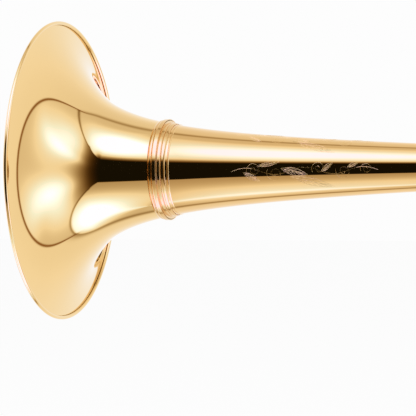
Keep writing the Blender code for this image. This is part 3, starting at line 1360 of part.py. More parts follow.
def make_lock_ring(slide):
    """Ring on the bell-side barrel whose hook catches the outer brace's lug."""
    bore = BARREL_RADIUS + TURN_FIT
    radius = bore + LOCK_RING_WALL
    profile = [
        (LOCK_RING_FRONT, bore),
        (LOCK_RING_REAR, bore),
        (LOCK_RING_REAR, radius - LOCK_RING_EDGE),
        (LOCK_RING_REAR - LOCK_RING_CHAMFER, radius),
        (LOCK_RING_FRONT + LOCK_RING_CHAMFER, radius),
        (LOCK_RING_FRONT, radius - LOCK_RING_EDGE),
    ]
    ring_piece = place("slide_lock_ring", turned(profile, RING_SIDES), "nickel_silver", slide)
    low = radius - LOCK_ARM_SINK
    high = radius + LOCK_ARM_RISE
    arm = block((LOCK_HOOK_FRONT, -LOCK_ARM_HALF_WIDTH, low),
                (LOCK_RING_FRONT + LOCK_ARM_LAP, LOCK_ARM_HALF_WIDTH, high))
    combine(ring_piece, arm, "UNION")
    hook = block((LOCK_HOOK_FRONT, -LOCK_ARM_HALF_WIDTH, low),
                 (LOCK_HOOK_FRONT + LOCK_HOOK_THICKNESS, LOCK_HOOK_REACH, high))
    combine(ring_piece, hook, "UNION")


def make_outer_slide(outer):
    """Outer tubes, right-hand brace, crook and rubber bumper."""
    for name, shift in (("outer_tube_bell_side", 0.0), ("outer_tube_mouthpiece_side", -SLIDE_SPACING)):
        profile = [
            (OUTER_TUBE_FRONT, OUTER_TUBE_BORE),
            (OUTER_TUBE_REAR, OUTER_TUBE_BORE),
            (OUTER_TUBE_REAR, OUTER_TUBE_RADIUS),
            (OUTER_TUBE_FRONT, OUTER_TUBE_RADIUS),
        ]
        place(name, turned(profile, SLIDE_SIDES), "yellow_brass", outer, (0.0, shift, 0.0))

    collar = (OUTER_TUBE_RADIUS + GAP, OUTER_COLLAR_WALL, OUTER_COLLAR_LENGTH)
    name = "outer_slide_brace"
    make_lock_lug(hand_brace(name, "nickel_silver", outer, OUTER_BRACE_X, collar, OUTER_BRACE_RADIUS))
    make_crook(outer)


def make_lock_lug(brace_piece):
    """Stud on the outer brace's bell-side collar that the lock ring's hook slips behind."""
    lock_ring_radius = BARREL_RADIUS + TURN_FIT + LOCK_RING_WALL
    angle = LOCK_HOOK_TURN + LOCK_STUD_AHEAD
    foot = OUTER_TUBE_RADIUS + GAP + LOCK_STUD_ROOT
    stud = rod(foot, lock_ring_radius + LOCK_STUD_PAST, LOCK_STUD_RADIUS)
    x = LOCK_HOOK_FRONT + LOCK_HOOK_THICKNESS + GAP + LOCK_STUD_RADIUS - OUTER_BRACE_X
    spin = Matrix.Rotation(-angle, 4, "X") @ Matrix.Rotation(-math.pi / 2.0, 4, "Y")
    world_to_piece = Matrix.Rotation(math.pi / 2.0, 4, "X")
    combine(brace_piece, moved(stud, world_to_piece @ Matrix.Translation((x, 0.0, 0.0)) @ spin), "UNION")


def make_crook(outer):
    """End bow of the slide, with sleeves over the outer tubes, bumper boss and water key seat."""
    sleeve_bore = OUTER_TUBE_RADIUS + GAP
    sleeve_radius = sleeve_bore + TUBE_WALL
    overlap = CROOK_SLEEVE_REAR - OUTER_TUBE_FRONT + GAP
    rest = OUTER_TUBE_FRONT - GAP - CROOK_SLEEVE_FRONT
    run = CROOK_SLEEVE_FRONT - CROOK_BOW_X
    route = Route((CROOK_SLEEVE_REAR, 0.0, 0.0), -X_AXIS, Z_AXIS, sleeve_bore, sleeve_radius)
    route.straight(overlap).step(CROOK_BORE, sleeve_radius).straight(rest)
    route.step(CROOK_BORE, OUTER_TUBE_RADIUS).straight(run).bend(math.pi, CROOK_BOW_RADIUS, Z_AXIS)
    route.straight(run).step(CROOK_BORE, sleeve_radius).straight(rest)
    route.step(sleeve_bore, sleeve_radius).straight(overlap)
    piece = place("slide_crook", bent_pipe(route, SLIDE_SIDES), "yellow_brass", outer)

    tip = CROOK_BOW_X - CROOK_BOW_RADIUS - CROOK_BORE - CROOK_BOSS_LAP
    boss = rod(tip - CROOK_BOSS_LENGTH, tip, CROOK_BOSS_RADIUS, SLIDE_SIDES)
    combine(piece, boss, "UNION", location=(0.0, -CROOK_BOW_RADIUS, 0.0))
    boss_end = tip - CROOK_BOSS_LENGTH
    bumper_rear = boss_end + BUMPER_TIP_LENGTH - BUMPER_TIP_FACE
    profile = [
        (boss_end - BUMPER_TIP_FACE, 0.0),
        (boss_end - BUMPER_TIP_FACE, BUMPER_TIP_FACE_RADIUS),
        (boss_end - BUMPER_TIP_FACE + BUMPER_TIP_ROUND, BUMPER_TIP_RADIUS),
        (bumper_rear, BUMPER_TIP_RADIUS),
        (bumper_rear, CROOK_BOSS_RADIUS + GAP),
        (boss_end - GAP, CROOK_BOSS_RADIUS + GAP),
        (boss_end - GAP, 0.0),
    ]
    place("slide_bumper", turned(profile, SLIDE_SIDES), "rubber", outer, (0.0, -CROOK_BOW_RADIUS, 0.0))

    nipple = rod(CROOK_BORE + INSET, WATER_NIPPLE_HEIGHT, WATER_NIPPLE_RADIUS)
    combine(piece, nipple, "UNION", (WATER_KEY_HOLE_X, 0.0, 0.0), TURN_X_TO_Y)
    drain_end = WATER_NIPPLE_HEIGHT + WATER_HOLE_PAST
    drain = rod(CROOK_BORE - WATER_HOLE_PAST, drain_end, WATER_HOLE_RADIUS, HOLE_SIDES)
    combine(piece, drain, "DIFFERENCE", (WATER_KEY_HOLE_X, 0.0, 0.0), TURN_X_TO_Y)
    half = WATER_KEY_WIDTH / 2.0 + GAP
    foot = math.sqrt((sleeve_bore + WATER_POST_ROOT) ** 2 - half ** 2)
    reach = WATER_BARREL_RADIUS
    for sign in (-1.0, 1.0):
        post = sorted_block((WATER_KEY_PIVOT_X - reach, foot, sign * half),
                            (WATER_KEY_PIVOT_X + reach, WATER_KEY_PIVOT_HEIGHT + reach,
                             sign * (half + WATER_POST_THICKNESS)))
        combine(piece, post, "UNION")
    pin = rod(-half - WATER_PIN_LAP, half + WATER_PIN_LAP, LEVER_PIN_RADIUS)
    combine(piece, pin, "UNION", (WATER_KEY_PIVOT_X, WATER_KEY_PIVOT_HEIGHT, 0.0), TURN_X_TO_Z)


def make_water_key(outer):
    pivot = frame("water_key_pivot", outer, (WATER_KEY_PIVOT_X, WATER_KEY_PIVOT_HEIGHT, 0.0))
    half = WATER_KEY_WIDTH / 2.0
    barrel = pipe(-half, half, LEVER_PIN_RADIUS + GAP, WATER_BARREL_RADIUS, SMALL_SIDES)
    lever = place("water_key_lever", barrel, "nickel_silver", pivot, rotation=TURN_X_TO_Z)
    pad_top = WATER_NIPPLE_HEIGHT + GAP + WATER_PAD_THICKNESS - WATER_KEY_PIVOT_HEIGHT
    seat = WATER_KEY_HOLE_X - WATER_KEY_PIVOT_X
    arm_low = pad_top + GAP
    arm_high = arm_low + WATER_KEY_THICKNESS
    to_pivot = Matrix.Rotation(math.pi / 2.0, 4, "Y")
    arm_top = half - INSET
    arm_foot = arm_top - WATER_ARM_WIDTH
    inner = WATER_BARREL_RADIUS - WATER_BARREL_LAP
    front_arm = block((seat, arm_low, arm_foot), (-inner, arm_high - INSET, arm_top))
    combine(lever, moved(front_arm, to_pivot), "UNION")
    cup = moved(rod(arm_low, arm_high, WATER_PAD_RADIUS + WATER_CUP_WALL, TUBE_SIDES),
                Matrix.Translation((seat, 0.0, 0.0)) @ Matrix.Rotation(math.pi / 2.0, 4, "Z"))
    combine(lever, moved(cup, to_pivot), "UNION")
    back_arm = block((inner, WATER_BACK_ARM_LOW, arm_foot),
                     (WATER_KEY_REACH, WATER_BACK_ARM_LOW + WATER_KEY_THICKNESS, arm_top))
    combine(lever, moved(back_arm, to_pivot), "UNION")
    pad = rod(pad_top - WATER_PAD_THICKNESS, pad_top, WATER_PAD_RADIUS, TUBE_SIDES)
    place("water_key_cork", pad, "cork", pivot, (seat, 0.0, 0.0), TURN_X_TO_Y)
    spring_radius = WATER_BARREL_RADIUS + SPRING_CLEARANCE
    spring = coil(-half + SPRING_END_ROOM, arm_foot - SPRING_END_ROOM, spring_radius)
    place("water_key_spring", spring, "steel", pivot, rotation=TURN_X_TO_Z)


def make_mouthpiece_side(mouth):
    """Mouthpiece receiver, leadpipe and mouthpiece."""
    front = BARREL_REAR + GAP
    profile = [
        (front, MOUTH_RECEIVER_BORE),
        (MOUTH_RECEIVER_REAR, MOUTH_RECEIVER_BORE),
        (MOUTH_RECEIVER_REAR, MOUTH_RING_RADIUS - MOUTH_RING_EDGE),
        (MOUTH_RECEIVER_REAR - MOUTH_RING_SLOPE, MOUTH_RING_RADIUS),
        (MOUTH_RECEIVER_REAR - MOUTH_RING_LENGTH, MOUTH_RING_RADIUS),
        (MOUTH_RECEIVER_REAR - MOUTH_RING_LENGTH - MOUTH_RING_SLOPE, MOUTH_RECEIVER_RADIUS),
        (front + MOUTH_RING_LENGTH + MOUTH_RING_SLOPE, MOUTH_RECEIVER_RADIUS),
        (front + MOUTH_RING_LENGTH, MOUTH_RING_RADIUS),
        (front, MOUTH_RING_RADIUS),
    ]
    place("mouthpiece_receiver", turned(profile, SLIDE_SIDES), "nickel_silver", mouth)

    end = MOUTH_RECEIVER_REAR + LEADPIPE_PROUD
    swell_start = MOUTH_TUBE_REAR + LEADPIPE_STEP
    mouth_bore = SHANK_TIP_RADIUS + SHANK_TAPER * (end - SHANK_TIP_X) + SLIP_FIT
    profile = [
        (LEADPIPE_FRONT, LEADPIPE_RADIUS - LEADPIPE_EDGE),
        (SHANK_TIP_X - LEADPIPE_THROAT_REACH, LEADPIPE_BORE - LEADPIPE_THROAT_STEP),
        (SHANK_TIP_X - LEADPIPE_STEP, SHANK_TIP_RADIUS + GAP),
        (end, mouth_bore),
        (end, LEADPIPE_MOUTH_RADIUS),
        (swell_start + LEADPIPE_SWELL_LENGTH, LEADPIPE_MOUTH_RADIUS - LEADPIPE_MOUTH_TAPER),
        (swell_start, LEADPIPE_RADIUS),
        (LEADPIPE_FRONT, LEADPIPE_RADIUS),
    ]
    place("leadpipe", turned(profile, SLIDE_SIDES), "rose_brass", mouth)

    rim_x = SHANK_TIP_X + MOUTHPIECE_LENGTH
    throat_end = rim_x - CUP_DEPTH - THROAT_BLEND
    shank_bare = end + SHANK_BARE_START
    shank_radius = SHANK_TIP_RADIUS + SHANK_TAPER * (shank_bare - SHANK_TIP_X)
    rim_reach = CUP_DEPTH - RIM_INNER_ROUND + THROAT_BLEND
    profile = [
        (SHANK_TIP_X, SHANK_TIP_RADIUS - SHANK_WALL),
        (throat_end - THROAT_LENGTH, THROAT_RADIUS),
        (throat_end, THROAT_RADIUS),
    ]
    for index in range(1, CUP_STEPS + 1):
        angle = math.pi / 2.0 * index / CUP_STEPS
        profile.append((throat_end + rim_reach * (1.0 - math.cos(angle)),
                        THROAT_RADIUS + (CUP_BORE - THROAT_RADIUS) * math.sin(angle)))
    profile += [
        (rim_x, CUP_BORE + RIM_INNER_ROUND),
        (rim_x, CUP_RADIUS - RIM_OUTER_ROUND / 2.0),
        (rim_x - RIM_OUTER_ROUND / 2.0, CUP_RADIUS),
        (rim_x - RIM_OUTER_ROUND, CUP_RADIUS),
    ]
    body_reach = CUP_WAIST - RIM_OUTER_ROUND
    body_radius = CUP_RADIUS - CUP_STEP
    for index in range(1, CUP_STEPS + 1):
        share = index / CUP_STEPS
        profile.append((rim_x - RIM_OUTER_ROUND - body_reach * share,
                        body_radius - (body_radius - CUP_WAIST_RADIUS) * share ** CUP_BULGE))
    profile += [
        (SHANK_TIP_X + SHANK_LENGTH, shank_radius + SHANK_SHOULDER),
        (shank_bare, shank_radius),
        (SHANK_TIP_X, SHANK_TIP_RADIUS),
    ]
    place("mouthpiece", turned(profile, RING_SIDES), "silver_plate", mouth)


def build():
    clear_scene()
    bell_axis = frame("bell_axis", location=(0.0, 0.0, -BELL_DROP))
    neck = frame("gooseneck_axis")
    make_bell_flare(bell_axis)
    make_bell_ring_front(bell_axis)
    make_bell_ring_rear(bell_axis)
    make_bell_stem(bell_axis)
    make_bell_braces(neck)
    make_receiver(neck)
    valves = []
    planes = []
    for number, x, side in ((1, VALVE_1_X, 1), (2, VALVE_2_X, -1)):
        plane = frame(f"loop_{number}_plane", neck, rotation=(side_tilt(side), 0.0, 0.0))
        drop = Matrix.Rotation(side_tilt(side), 3, "X") @ Vector((0.0, 0.0, -VALVE_DROP))
        valve = frame(f"valve_{number}_axis", neck, (x, drop.y, drop.z), (side_tilt(side), 0.0, 0.0))
        make_valve_body(number, valve, side)
        valves.append((number, valve, x, side))
        planes.append(plane)
    make_valve_levers(valves)
    make_bumpers(valves)
    make_loops(planes)
    make_wrap(neck)
    make_main_tuning_slide(neck)
    make_wrap_brace(neck)
    slide = frame("slide_axis")
    mouth = frame("mouthpiece_axis", slide, (0.0, -SLIDE_SPACING, 0.0))
    make_inner_slide(slide, mouth)
    make_lock_ring(slide)
    outer = frame("outer_slide_axis", slide)
    make_outer_slide(outer)
    make_water_key(outer)
    make_mouthpiece_side(mouth)


build()
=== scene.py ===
"""Contrabass trombone: detailed shapes, finishes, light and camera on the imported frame.

Metres throughout, +Z up, +X back to the player. The origin is the middle of the slide receiver's
mouth. Every piece takes the place of one node of the frame and is made of closed shells.
"""

import json
import math

import bmesh
import bpy
from mathutils import Matrix, Vector


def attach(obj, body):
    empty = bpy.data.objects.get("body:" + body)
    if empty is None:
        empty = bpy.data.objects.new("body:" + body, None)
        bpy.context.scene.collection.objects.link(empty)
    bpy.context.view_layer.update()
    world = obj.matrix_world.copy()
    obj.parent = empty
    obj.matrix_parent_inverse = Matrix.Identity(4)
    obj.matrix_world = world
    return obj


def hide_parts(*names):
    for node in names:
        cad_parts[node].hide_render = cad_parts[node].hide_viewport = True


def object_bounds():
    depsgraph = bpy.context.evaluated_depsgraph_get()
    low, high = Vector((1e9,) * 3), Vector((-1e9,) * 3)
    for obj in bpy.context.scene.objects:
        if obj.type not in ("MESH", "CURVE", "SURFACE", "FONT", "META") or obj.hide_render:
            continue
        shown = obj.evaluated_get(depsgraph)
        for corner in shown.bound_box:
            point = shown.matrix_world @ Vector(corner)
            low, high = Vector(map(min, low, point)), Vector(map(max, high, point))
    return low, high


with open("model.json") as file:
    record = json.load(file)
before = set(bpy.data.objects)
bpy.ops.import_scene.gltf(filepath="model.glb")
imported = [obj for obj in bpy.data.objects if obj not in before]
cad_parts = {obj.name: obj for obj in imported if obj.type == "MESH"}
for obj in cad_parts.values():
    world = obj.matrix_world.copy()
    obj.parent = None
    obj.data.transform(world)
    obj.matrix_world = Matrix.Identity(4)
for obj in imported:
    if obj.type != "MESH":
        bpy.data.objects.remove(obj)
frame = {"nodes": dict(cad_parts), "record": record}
CAD_BOUNDS = [list(corner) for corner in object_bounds()]

# Fits
GAP = 0.0003
SLIP_FIT = 0.00035
TURN_FIT = 0.0004
MERGE_DISTANCE = 0.000001
INSET = 0.0002
SLOPE_STEP = 0.00005

# Bell
BELL_DROP = 0.170
BELL_LENGTH = 0.720
BELL_RIM_RADIUS = 0.1335
BELL_WALL = 0.0007
RIM_CURL_RADIUS = 0.00135
RIM_CURL_TURN = math.radians(290.0)
RIM_WIRE_RADIUS = 0.00075
FLARE_JOIN = 0.045
FLARE_LENGTH = 0.02713
FLARE_POWER = 1.134
FLARE_OVERREACH = 0.00204
RIM_SLOPE = 1.5
LIP_HEIGHT = 0.020
LIP_REACH = 0.006
STEM_RADIUS = 0.02584
STEM_TAPER = 0.0359
TAIL_START = 0.300
TAIL_RADIUS = 0.0114
TAIL_SLEEVE_LENGTH = 0.080

# Screw ring at the bell's neck, its start measured from the rim
RING_START = 0.0924
RING_FRONT_LENGTH = 0.0079
RING_REAR_LENGTH = 0.0069
RING_SEAT_LENGTH = 0.0026
STEM_INSET = 0.0007
RING_HEIGHT = 0.00377
RING_THREAD_HEIGHT = 0.00143
RING_REAR_STEP = 0.0031
RING_WIDE_BEAD_LENGTH = 0.0040

# Main tubing
MAIN_BORE = 0.0077
TUBE_WALL = 0.0007
FERRULE_LENGTH = 0.014
FERRULE_LAP = 0.0018
FERRULE_WALL = 0.0009
FERRULE_CHAMFER = 0.0004
WRAP_OFFSET = 0.062
WRAP_DROP = 0.060
REAR_BOW_X = 0.275
FRONT_BOW_X = 0.040

# Tuning slides
SLEEVE_LENGTH = 0.058
SLEEVE_GRIP = 0.006
SLIDE_LEG_LENGTH = 0.050
SLIDE_FERRULE_LENGTH = 0.008
SLIDE_BRACE_RADIUS = 0.0028
SLIDE_PULL = 0.040
PULL_ROOM = 0.004
MAIN_BAR_REACH = 0.0303

# Slide receiver and neckpipe
RECEIVER_LENGTH = 0.044
RECEIVER_SOCKET_DEPTH = 0.0345
RECEIVER_MOUTH_RADIUS = 0.0099
RECEIVER_END_RADIUS = 0.0093
RECEIVER_THREAD_RADIUS = 0.0112
RECEIVER_BODY_RADIUS = 0.0109
RECEIVER_THREAD_LENGTH = 0.013
RECEIVER_RING_LENGTH = 0.004
RECEIVER_RING_RADIUS = 0.0126
RECEIVER_RING_EDGE = 0.0006
RECEIVER_RING_CHAMFER = 0.0008
RECEIVER_END_BEAD = 0.0008

# Valves
VALVE_1_X = 0.115
VALVE_TILT = math.radians(25.0)
ROTOR_RADIUS = 0.019
ROTOR_LENGTH = 0.026
CASING_WALL = 0.0035
KNUCKLE_START = 0.022
KNUCKLE_BEND = 0.024
TOP_PLATE = 0.0057
SPINDLE_RADIUS = 0.0035
CAP_RADIUS = 0.025
CAP_WALL = 0.0019
CAP_DEPTH = 0.0125
CAP_CHAMFER = 0.0015
CAP_DOME = 0.0006
CAP_DOME_RADIUS = 0.0112
STOP_PIN_RADIUS = 0.0095
STOP_ARM_THICKNESS = 0.004
STOP_HUB_RADIUS = 0.0065
STOP_HUB_WALL_LAP = 0.0015
STOP_ARM_WIDTH = 0.0048
STOP_FINGER_PAST = 0.002
STOP_REST_ANGLE = math.radians(45.0)
STOP_LINK_ANGLE = math.radians(225.0)
BUMPER_CIRCLE = 0.013
BUMPER_RADIUS = 0.0029
BUMPER_HEIGHT = 0.0048
BUMPER_POST_RADIUS = 0.0012
BUMPER_POST_ROOT = 0.001
BUMPER_ANGLE = math.radians(26.0)
VALVE_TURN = math.radians(90.0)

# Valve levers and links
LEVER_PIVOT_X = 0.062
LEVER_TURN = math.radians(24.0)
LEVER_LAYER = 0.0205
LEVER_THICKNESS = 0.0030
LEVER_ARM_WIDTH = 0.005
LEVER_BARREL_RADIUS = 0.0036
LEVER_BARREL_LENGTH = 0.0100
LEVER_BARREL_LAP = 0.0012
LEVER_PIN_RADIUS = 0.0015
LEVER_NECK_BELOW = 0.001
LEVER_NECK_ABOVE = 0.0025
PADDLE_REACH = 0.045
PADDLE_LENGTH = 0.026
PADDLE_WIDTH = 0.014
PADDLE_THICKNESS = 0.002
PADDLE_RISE = 0.005
PADDLE_NEAR_STEP = 0.0014
PADDLE_CORNER = 0.004
PADDLE_LAP = 0.0005
RISER_LENGTH = 0.007
SADDLE_LENGTH = 0.012
SADDLE_WALL = 0.0022
SADDLE_SINK = 0.0006
PIN_LAP = 0.0017
SADDLE_CLEARANCE = 0.0026
ROD_RADIUS = 0.0015
ROD_EYE_RADIUS = 0.0036
ROD_EYE_THICKNESS = 0.0026
ROD_LAP = 0.0014
SCREW_HEAD_RADIUS = 0.0024
SCREW_HEAD_HEIGHT = 0.0014
SCREW_HEAD_TAPER = 0.0003
SPRING_CLEARANCE = 0.0007
SPRING_END_ROOM = 0.0008
LEVER_SPRING_START = 0.0036
SPRING_WIRE_RADIUS = 0.0004
SPRING_TURNS = 3

# Valve loops, places along X measured from the receiver's mouth
LOOP_1_SLIDE_X = 0.306
LOOP_1_OUTER_BOW_X = 0.020
LOOP_1_LOWER_BOW_X = 0.070
LOOP_1_INNER_BOW_X = 0.215
LOOP_1_BOW_RADIUS = 0.045
LOOP_1_STEP = 0.0208
LOOP_1_SIDE_STEP = 0.019
LOOP_2_FRONT_BOW_X = 0.0504
LOOP_2_BOW_RADIUS = 0.048

# Braces
BRACE_ROD_RADIUS = 0.0032
BRACE_COLLAR_LENGTH = 0.010
BRACE_COLLAR_WALL = 0.0010
BRACE_SWELL = 1.5
BRACE_FOOT = 0.003
BRACE_SINK = 0.0006
BRACE_BEAD = 0.004
BELL_BRACE_FRONT_X = 0.028
BELL_BRACE_REACH = 0.097
WRAP_BRACE_X = 0.170

# Hand slide
SLIDE_SPACING = 0.095
SLIDE_BORE = 0.0075
INNER_TUBE_RADIUS = 0.0080
STOCKING_RADIUS = 0.00815
STOCKING_LENGTH = 0.110
STOCKING_STEP = 0.002
INNER_TUBE_FRONT = -0.750
OUTER_TUBE_RADIUS = 0.0090
OUTER_TUBE_FRONT = -0.770
OUTER_TUBE_REAR = -0.0196
TENON_COLLAR_RADIUS = 0.0106
TENON_COLLAR_LENGTH = 0.0027
TENON_LENGTH = 0.034
TENON_NECK = 0.007
TENON_NECK_RELIEF = 0.0004
LOCK_NUT_REAR = 0.0125
LOCK_NUT_FRONT = -0.0060
LOCK_NUT_RADIUS = 0.0142
LOCK_NUT_CHAMFER = 0.0012
LOCK_NUT_CONE = 0.003
BARREL_FRONT = -0.062
BARREL_REAR = -0.0075
BARREL_RADIUS = 0.0116
BARREL_BORE = 0.0097
BARREL_END_WALL = 0.0025
BARREL_BEAD = 0.0008
BARREL_BEAD_REACH = 0.0022
CORK_LENGTH = 0.0087
GRIP_X = -0.034
GRIP_RADIUS = 0.0055
GRIP_COLLAR_LENGTH = 0.014
GRIP_COLLAR_WALL = 0.0011
GRIP_FOOT = 0.005
LOCK_RING_REAR = -0.045
LOCK_RING_FRONT = -0.055
LOCK_RING_WALL = 0.0018
LOCK_RING_EDGE = 0.0006
LOCK_RING_CHAMFER = 0.001
LOCK_ARM_HALF_WIDTH = 0.003
LOCK_ARM_SINK = 0.0006
LOCK_ARM_RISE = 0.001
LOCK_ARM_LAP = 0.002
LOCK_HOOK_FRONT = -0.0790
LOCK_HOOK_THICKNESS = 0.0020
LOCK_HOOK_REACH = 0.007
LOCK_STUD_RADIUS = 0.0017
LOCK_STUD_ROOT = 0.0005
LOCK_STUD_PAST = 0.0018
LOCK_HOOK_TURN = math.radians(30.0)
LOCK_STUD_AHEAD = math.radians(31.0)
OUTER_BRACE_X = -0.080
OUTER_BRACE_RADIUS = 0.0045
OUTER_COLLAR_LENGTH = 0.016
OUTER_COLLAR_WALL = 0.0010
CROOK_SLEEVE_REAR = -0.757
CROOK_SLEEVE_FRONT = -0.779
CROOK_BOW_X = -0.790
CROOK_BORE = 0.0079
CROOK_BOSS_RADIUS = 0.0060
CROOK_BOSS_LENGTH = 0.012
CROOK_BOSS_LAP = 0.0004
BUMPER_TIP_RADIUS = 0.0095
BUMPER_TIP_LENGTH = 0.017
BUMPER_TIP_FACE = 0.008
BUMPER_TIP_FACE_RADIUS = 0.0066
BUMPER_TIP_ROUND = 0.003

# Water key on the crook
WATER_KEY_HOLE_X = -0.7860
WATER_KEY_PIVOT_X = -0.7680
WATER_NIPPLE_RADIUS = 0.0036
WATER_NIPPLE_HEIGHT = 0.0125
WATER_HOLE_RADIUS = 0.0018
WATER_KEY_PIVOT_HEIGHT = 0.0160
WATER_KEY_REACH = 0.030
WATER_KEY_WIDTH = 0.010
WATER_ARM_WIDTH = 0.0048
WATER_KEY_THICKNESS = 0.0016
WATER_PAD_RADIUS = 0.0046
WATER_PAD_THICKNESS = 0.0022
WATER_CUP_WALL = 0.0004
WATER_BARREL_RADIUS = 0.0028
WATER_BARREL_LAP = 0.0011
WATER_BACK_ARM_LOW = 0.0004
WATER_POST_THICKNESS = 0.0020
WATER_POST_ROOT = 0.0002
WATER_PIN_LAP = 0.001

# Mouthpiece side
MOUTH_TUBE_REAR = 0.018
MOUTH_RECEIVER_REAR = 0.080
MOUTH_RECEIVER_RADIUS = 0.0096
MOUTH_RECEIVER_BORE = 0.0086
MOUTH_RING_RADIUS = 0.0112
MOUTH_RING_LENGTH = 0.004
MOUTH_RING_SLOPE = 0.001
MOUTH_RING_EDGE = 0.0005
LEADPIPE_FRONT = -0.180
LEADPIPE_RADIUS = 0.0072
LEADPIPE_BORE = 0.0063
LEADPIPE_THROAT_STEP = 0.0008
LEADPIPE_EDGE = 0.0005
LEADPIPE_MOUTH_RADIUS = 0.0083
LEADPIPE_MOUTH_TAPER = 0.0004
LEADPIPE_SWELL_LENGTH = 0.006
LEADPIPE_PROUD = 0.0006
LEADPIPE_STEP = 0.002
LEADPIPE_THROAT_REACH = 0.010
SHANK_TIP_X = 0.048
SHANK_TIP_RADIUS = 0.00635
SHANK_TAPER = 0.020
SHANK_WALL = 0.0009
SHANK_LENGTH = 0.048
SHANK_SHOULDER = 0.0006
SHANK_BARE_START = 0.004
MOUTHPIECE_LENGTH = 0.094
CUP_RADIUS = 0.0205
CUP_BORE = 0.0148
CUP_DEPTH = 0.034
CUP_STEP = 0.0010
CUP_BULGE = 1.7
CUP_WAIST = 0.036
CUP_WAIST_RADIUS = 0.0107
RIM_INNER_ROUND = 0.0030
RIM_OUTER_ROUND = 0.0030
THROAT_RADIUS = 0.0039
THROAT_LENGTH = 0.010
THROAT_BLEND = 0.002

# Sizes that follow from the ones above
MAIN_RADIUS = MAIN_BORE + TUBE_WALL
VALVE_DROP = (KNUCKLE_START - KNUCKLE_BEND) / math.sqrt(2.0) + KNUCKLE_BEND
PORT_REACH = (KNUCKLE_START + KNUCKLE_BEND) / math.sqrt(2.0)
VALVE_2_X = VALVE_1_X + 2.0 * PORT_REACH + GAP
LOOP_DEPTH = 2.0 * VALVE_DROP
CASING_RADIUS = ROTOR_RADIUS + GAP + CASING_WALL
CASING_HALF = ROTOR_LENGTH / 2.0 + GAP + TOP_PLATE
SLEEVE_BORE = MAIN_RADIUS + SLIP_FIT
SLEEVE_RADIUS = SLEEVE_BORE + TUBE_WALL
RING_JOINT = RING_START + RING_FRONT_LENGTH
FLARE_END = RING_START + RING_SEAT_LENGTH
STEM_START = RING_JOINT + STEM_INSET
LOOP_2_SLIDE_X = VALVE_2_X + PORT_REACH + SLEEVE_LENGTH - SLEEVE_GRIP
LOOP_2_END_X = LOOP_2_SLIDE_X + GAP + SLIDE_FERRULE_LENGTH + LOOP_2_BOW_RADIUS + MAIN_RADIUS
MAIN_BAR_X = LOOP_2_END_X + SLIDE_PULL + PULL_ROOM
BELL_TAIL_X = MAIN_BAR_X - MAIN_BAR_REACH - SLIDE_FERRULE_LENGTH - GAP
BELL_RIM_X = BELL_TAIL_X - BELL_LENGTH
BELL_BRACE_REAR_X = BELL_TAIL_X - BELL_BRACE_REACH
LEVER_SHORT_ARM = STOP_PIN_RADIUS * math.sin(VALVE_TURN / 2.0) / math.sin(LEVER_TURN / 2.0)
STOP_PIN_OFFSET = STOP_PIN_RADIUS * math.cos(VALVE_TURN / 2.0)
LEVER_PIVOT_RISE = LEVER_SHORT_ARM * math.cos(LEVER_TURN / 2.0) - STOP_PIN_OFFSET
CROOK_BOW_RADIUS = SLIDE_SPACING / 2.0

# How finely the pieces are drawn
BELL_SIDES = 288
KNURL_SIDES = 144
ROUND_SIDES = 64
SMALL_SIDES = 32
FLARE_STEPS = 60
FLARE_CROWDING = 1.9
STEM_STEPS = 90
CURL_STEPS = 24
WIRE_SIDES = 16
BEAD_STEPS = 10
BAR_STEPS = 40
CUP_STEPS = 14
COIL_STEPS = 36
COIL_SIDES = 12
BEND_STEP = math.radians(4.5)
SHARP_ANGLE = math.radians(35.0)
STRAIGHT = math.radians(170.0)
EDGE_ROUND = 0.0003
BLOCK_BEVEL = 0.0004
SHOULDER = 0.0002
KNURL_DEPTH = 0.0003

# Turned details that the solids leave out
RIM_SPARE = 0.00004
RING_SPARE = 0.0002
RING_ROUND = 0.0005
RING_BEAD_FOOT = 0.0005
RING_BEAD_RISE = 0.0007
THIN_COLLAR_LENGTH = 0.0032
THIN_COLLAR_BEAD = 0.0008
THIN_COLLAR_RISE = 0.0006
THIN_COLLAR_WALL = 0.0002
FERRULE_BEAD = 0.0014
FERRULE_DIP = 0.0003
SLEEVE_RING = 0.0030
SLEEVE_RING_WALL = 0.0004
CROOK_RING = 0.0022
MAIN_BAR_SINK = 0.0012
THREAD_PITCH = 0.0010
THREAD_DEPTH = 0.0004
THREAD_RUN_OUT = 0.0010
THREAD_TURNS = 11
CASING_EDGE = 0.0012
CASING_GROOVE = 0.0004
CASING_GROOVE_PLACE = 0.0024
CAP_PIP_RADIUS = 0.0030
CAP_FACE_STEP = 0.0004
BAND_EDGE = 0.0012
BAND_STEP = 0.0005
BUMPER_ROUND = 0.0005
BUMPER_GROOVE = 0.0004
BUMPER_GROOVES = 2
ROD_BORE = 0.0013
ROD_THIN = 0.66
SCREW_SLOT = 0.0008

# The flare's half of the screw ring, from its rear edge to its front: place and height over the band
RING_OUTLINE = (
    (0.0079, -0.00025),
    (0.0077, 0.0),
    (0.0060, 0.0),
    (0.0050, 0.00015),
    (0.0040, -0.00010),
    (0.0034, -0.00095),
    (0.0021, -0.00055),
    (0.0010, -0.00100),
    (0.0, -0.00150),
)

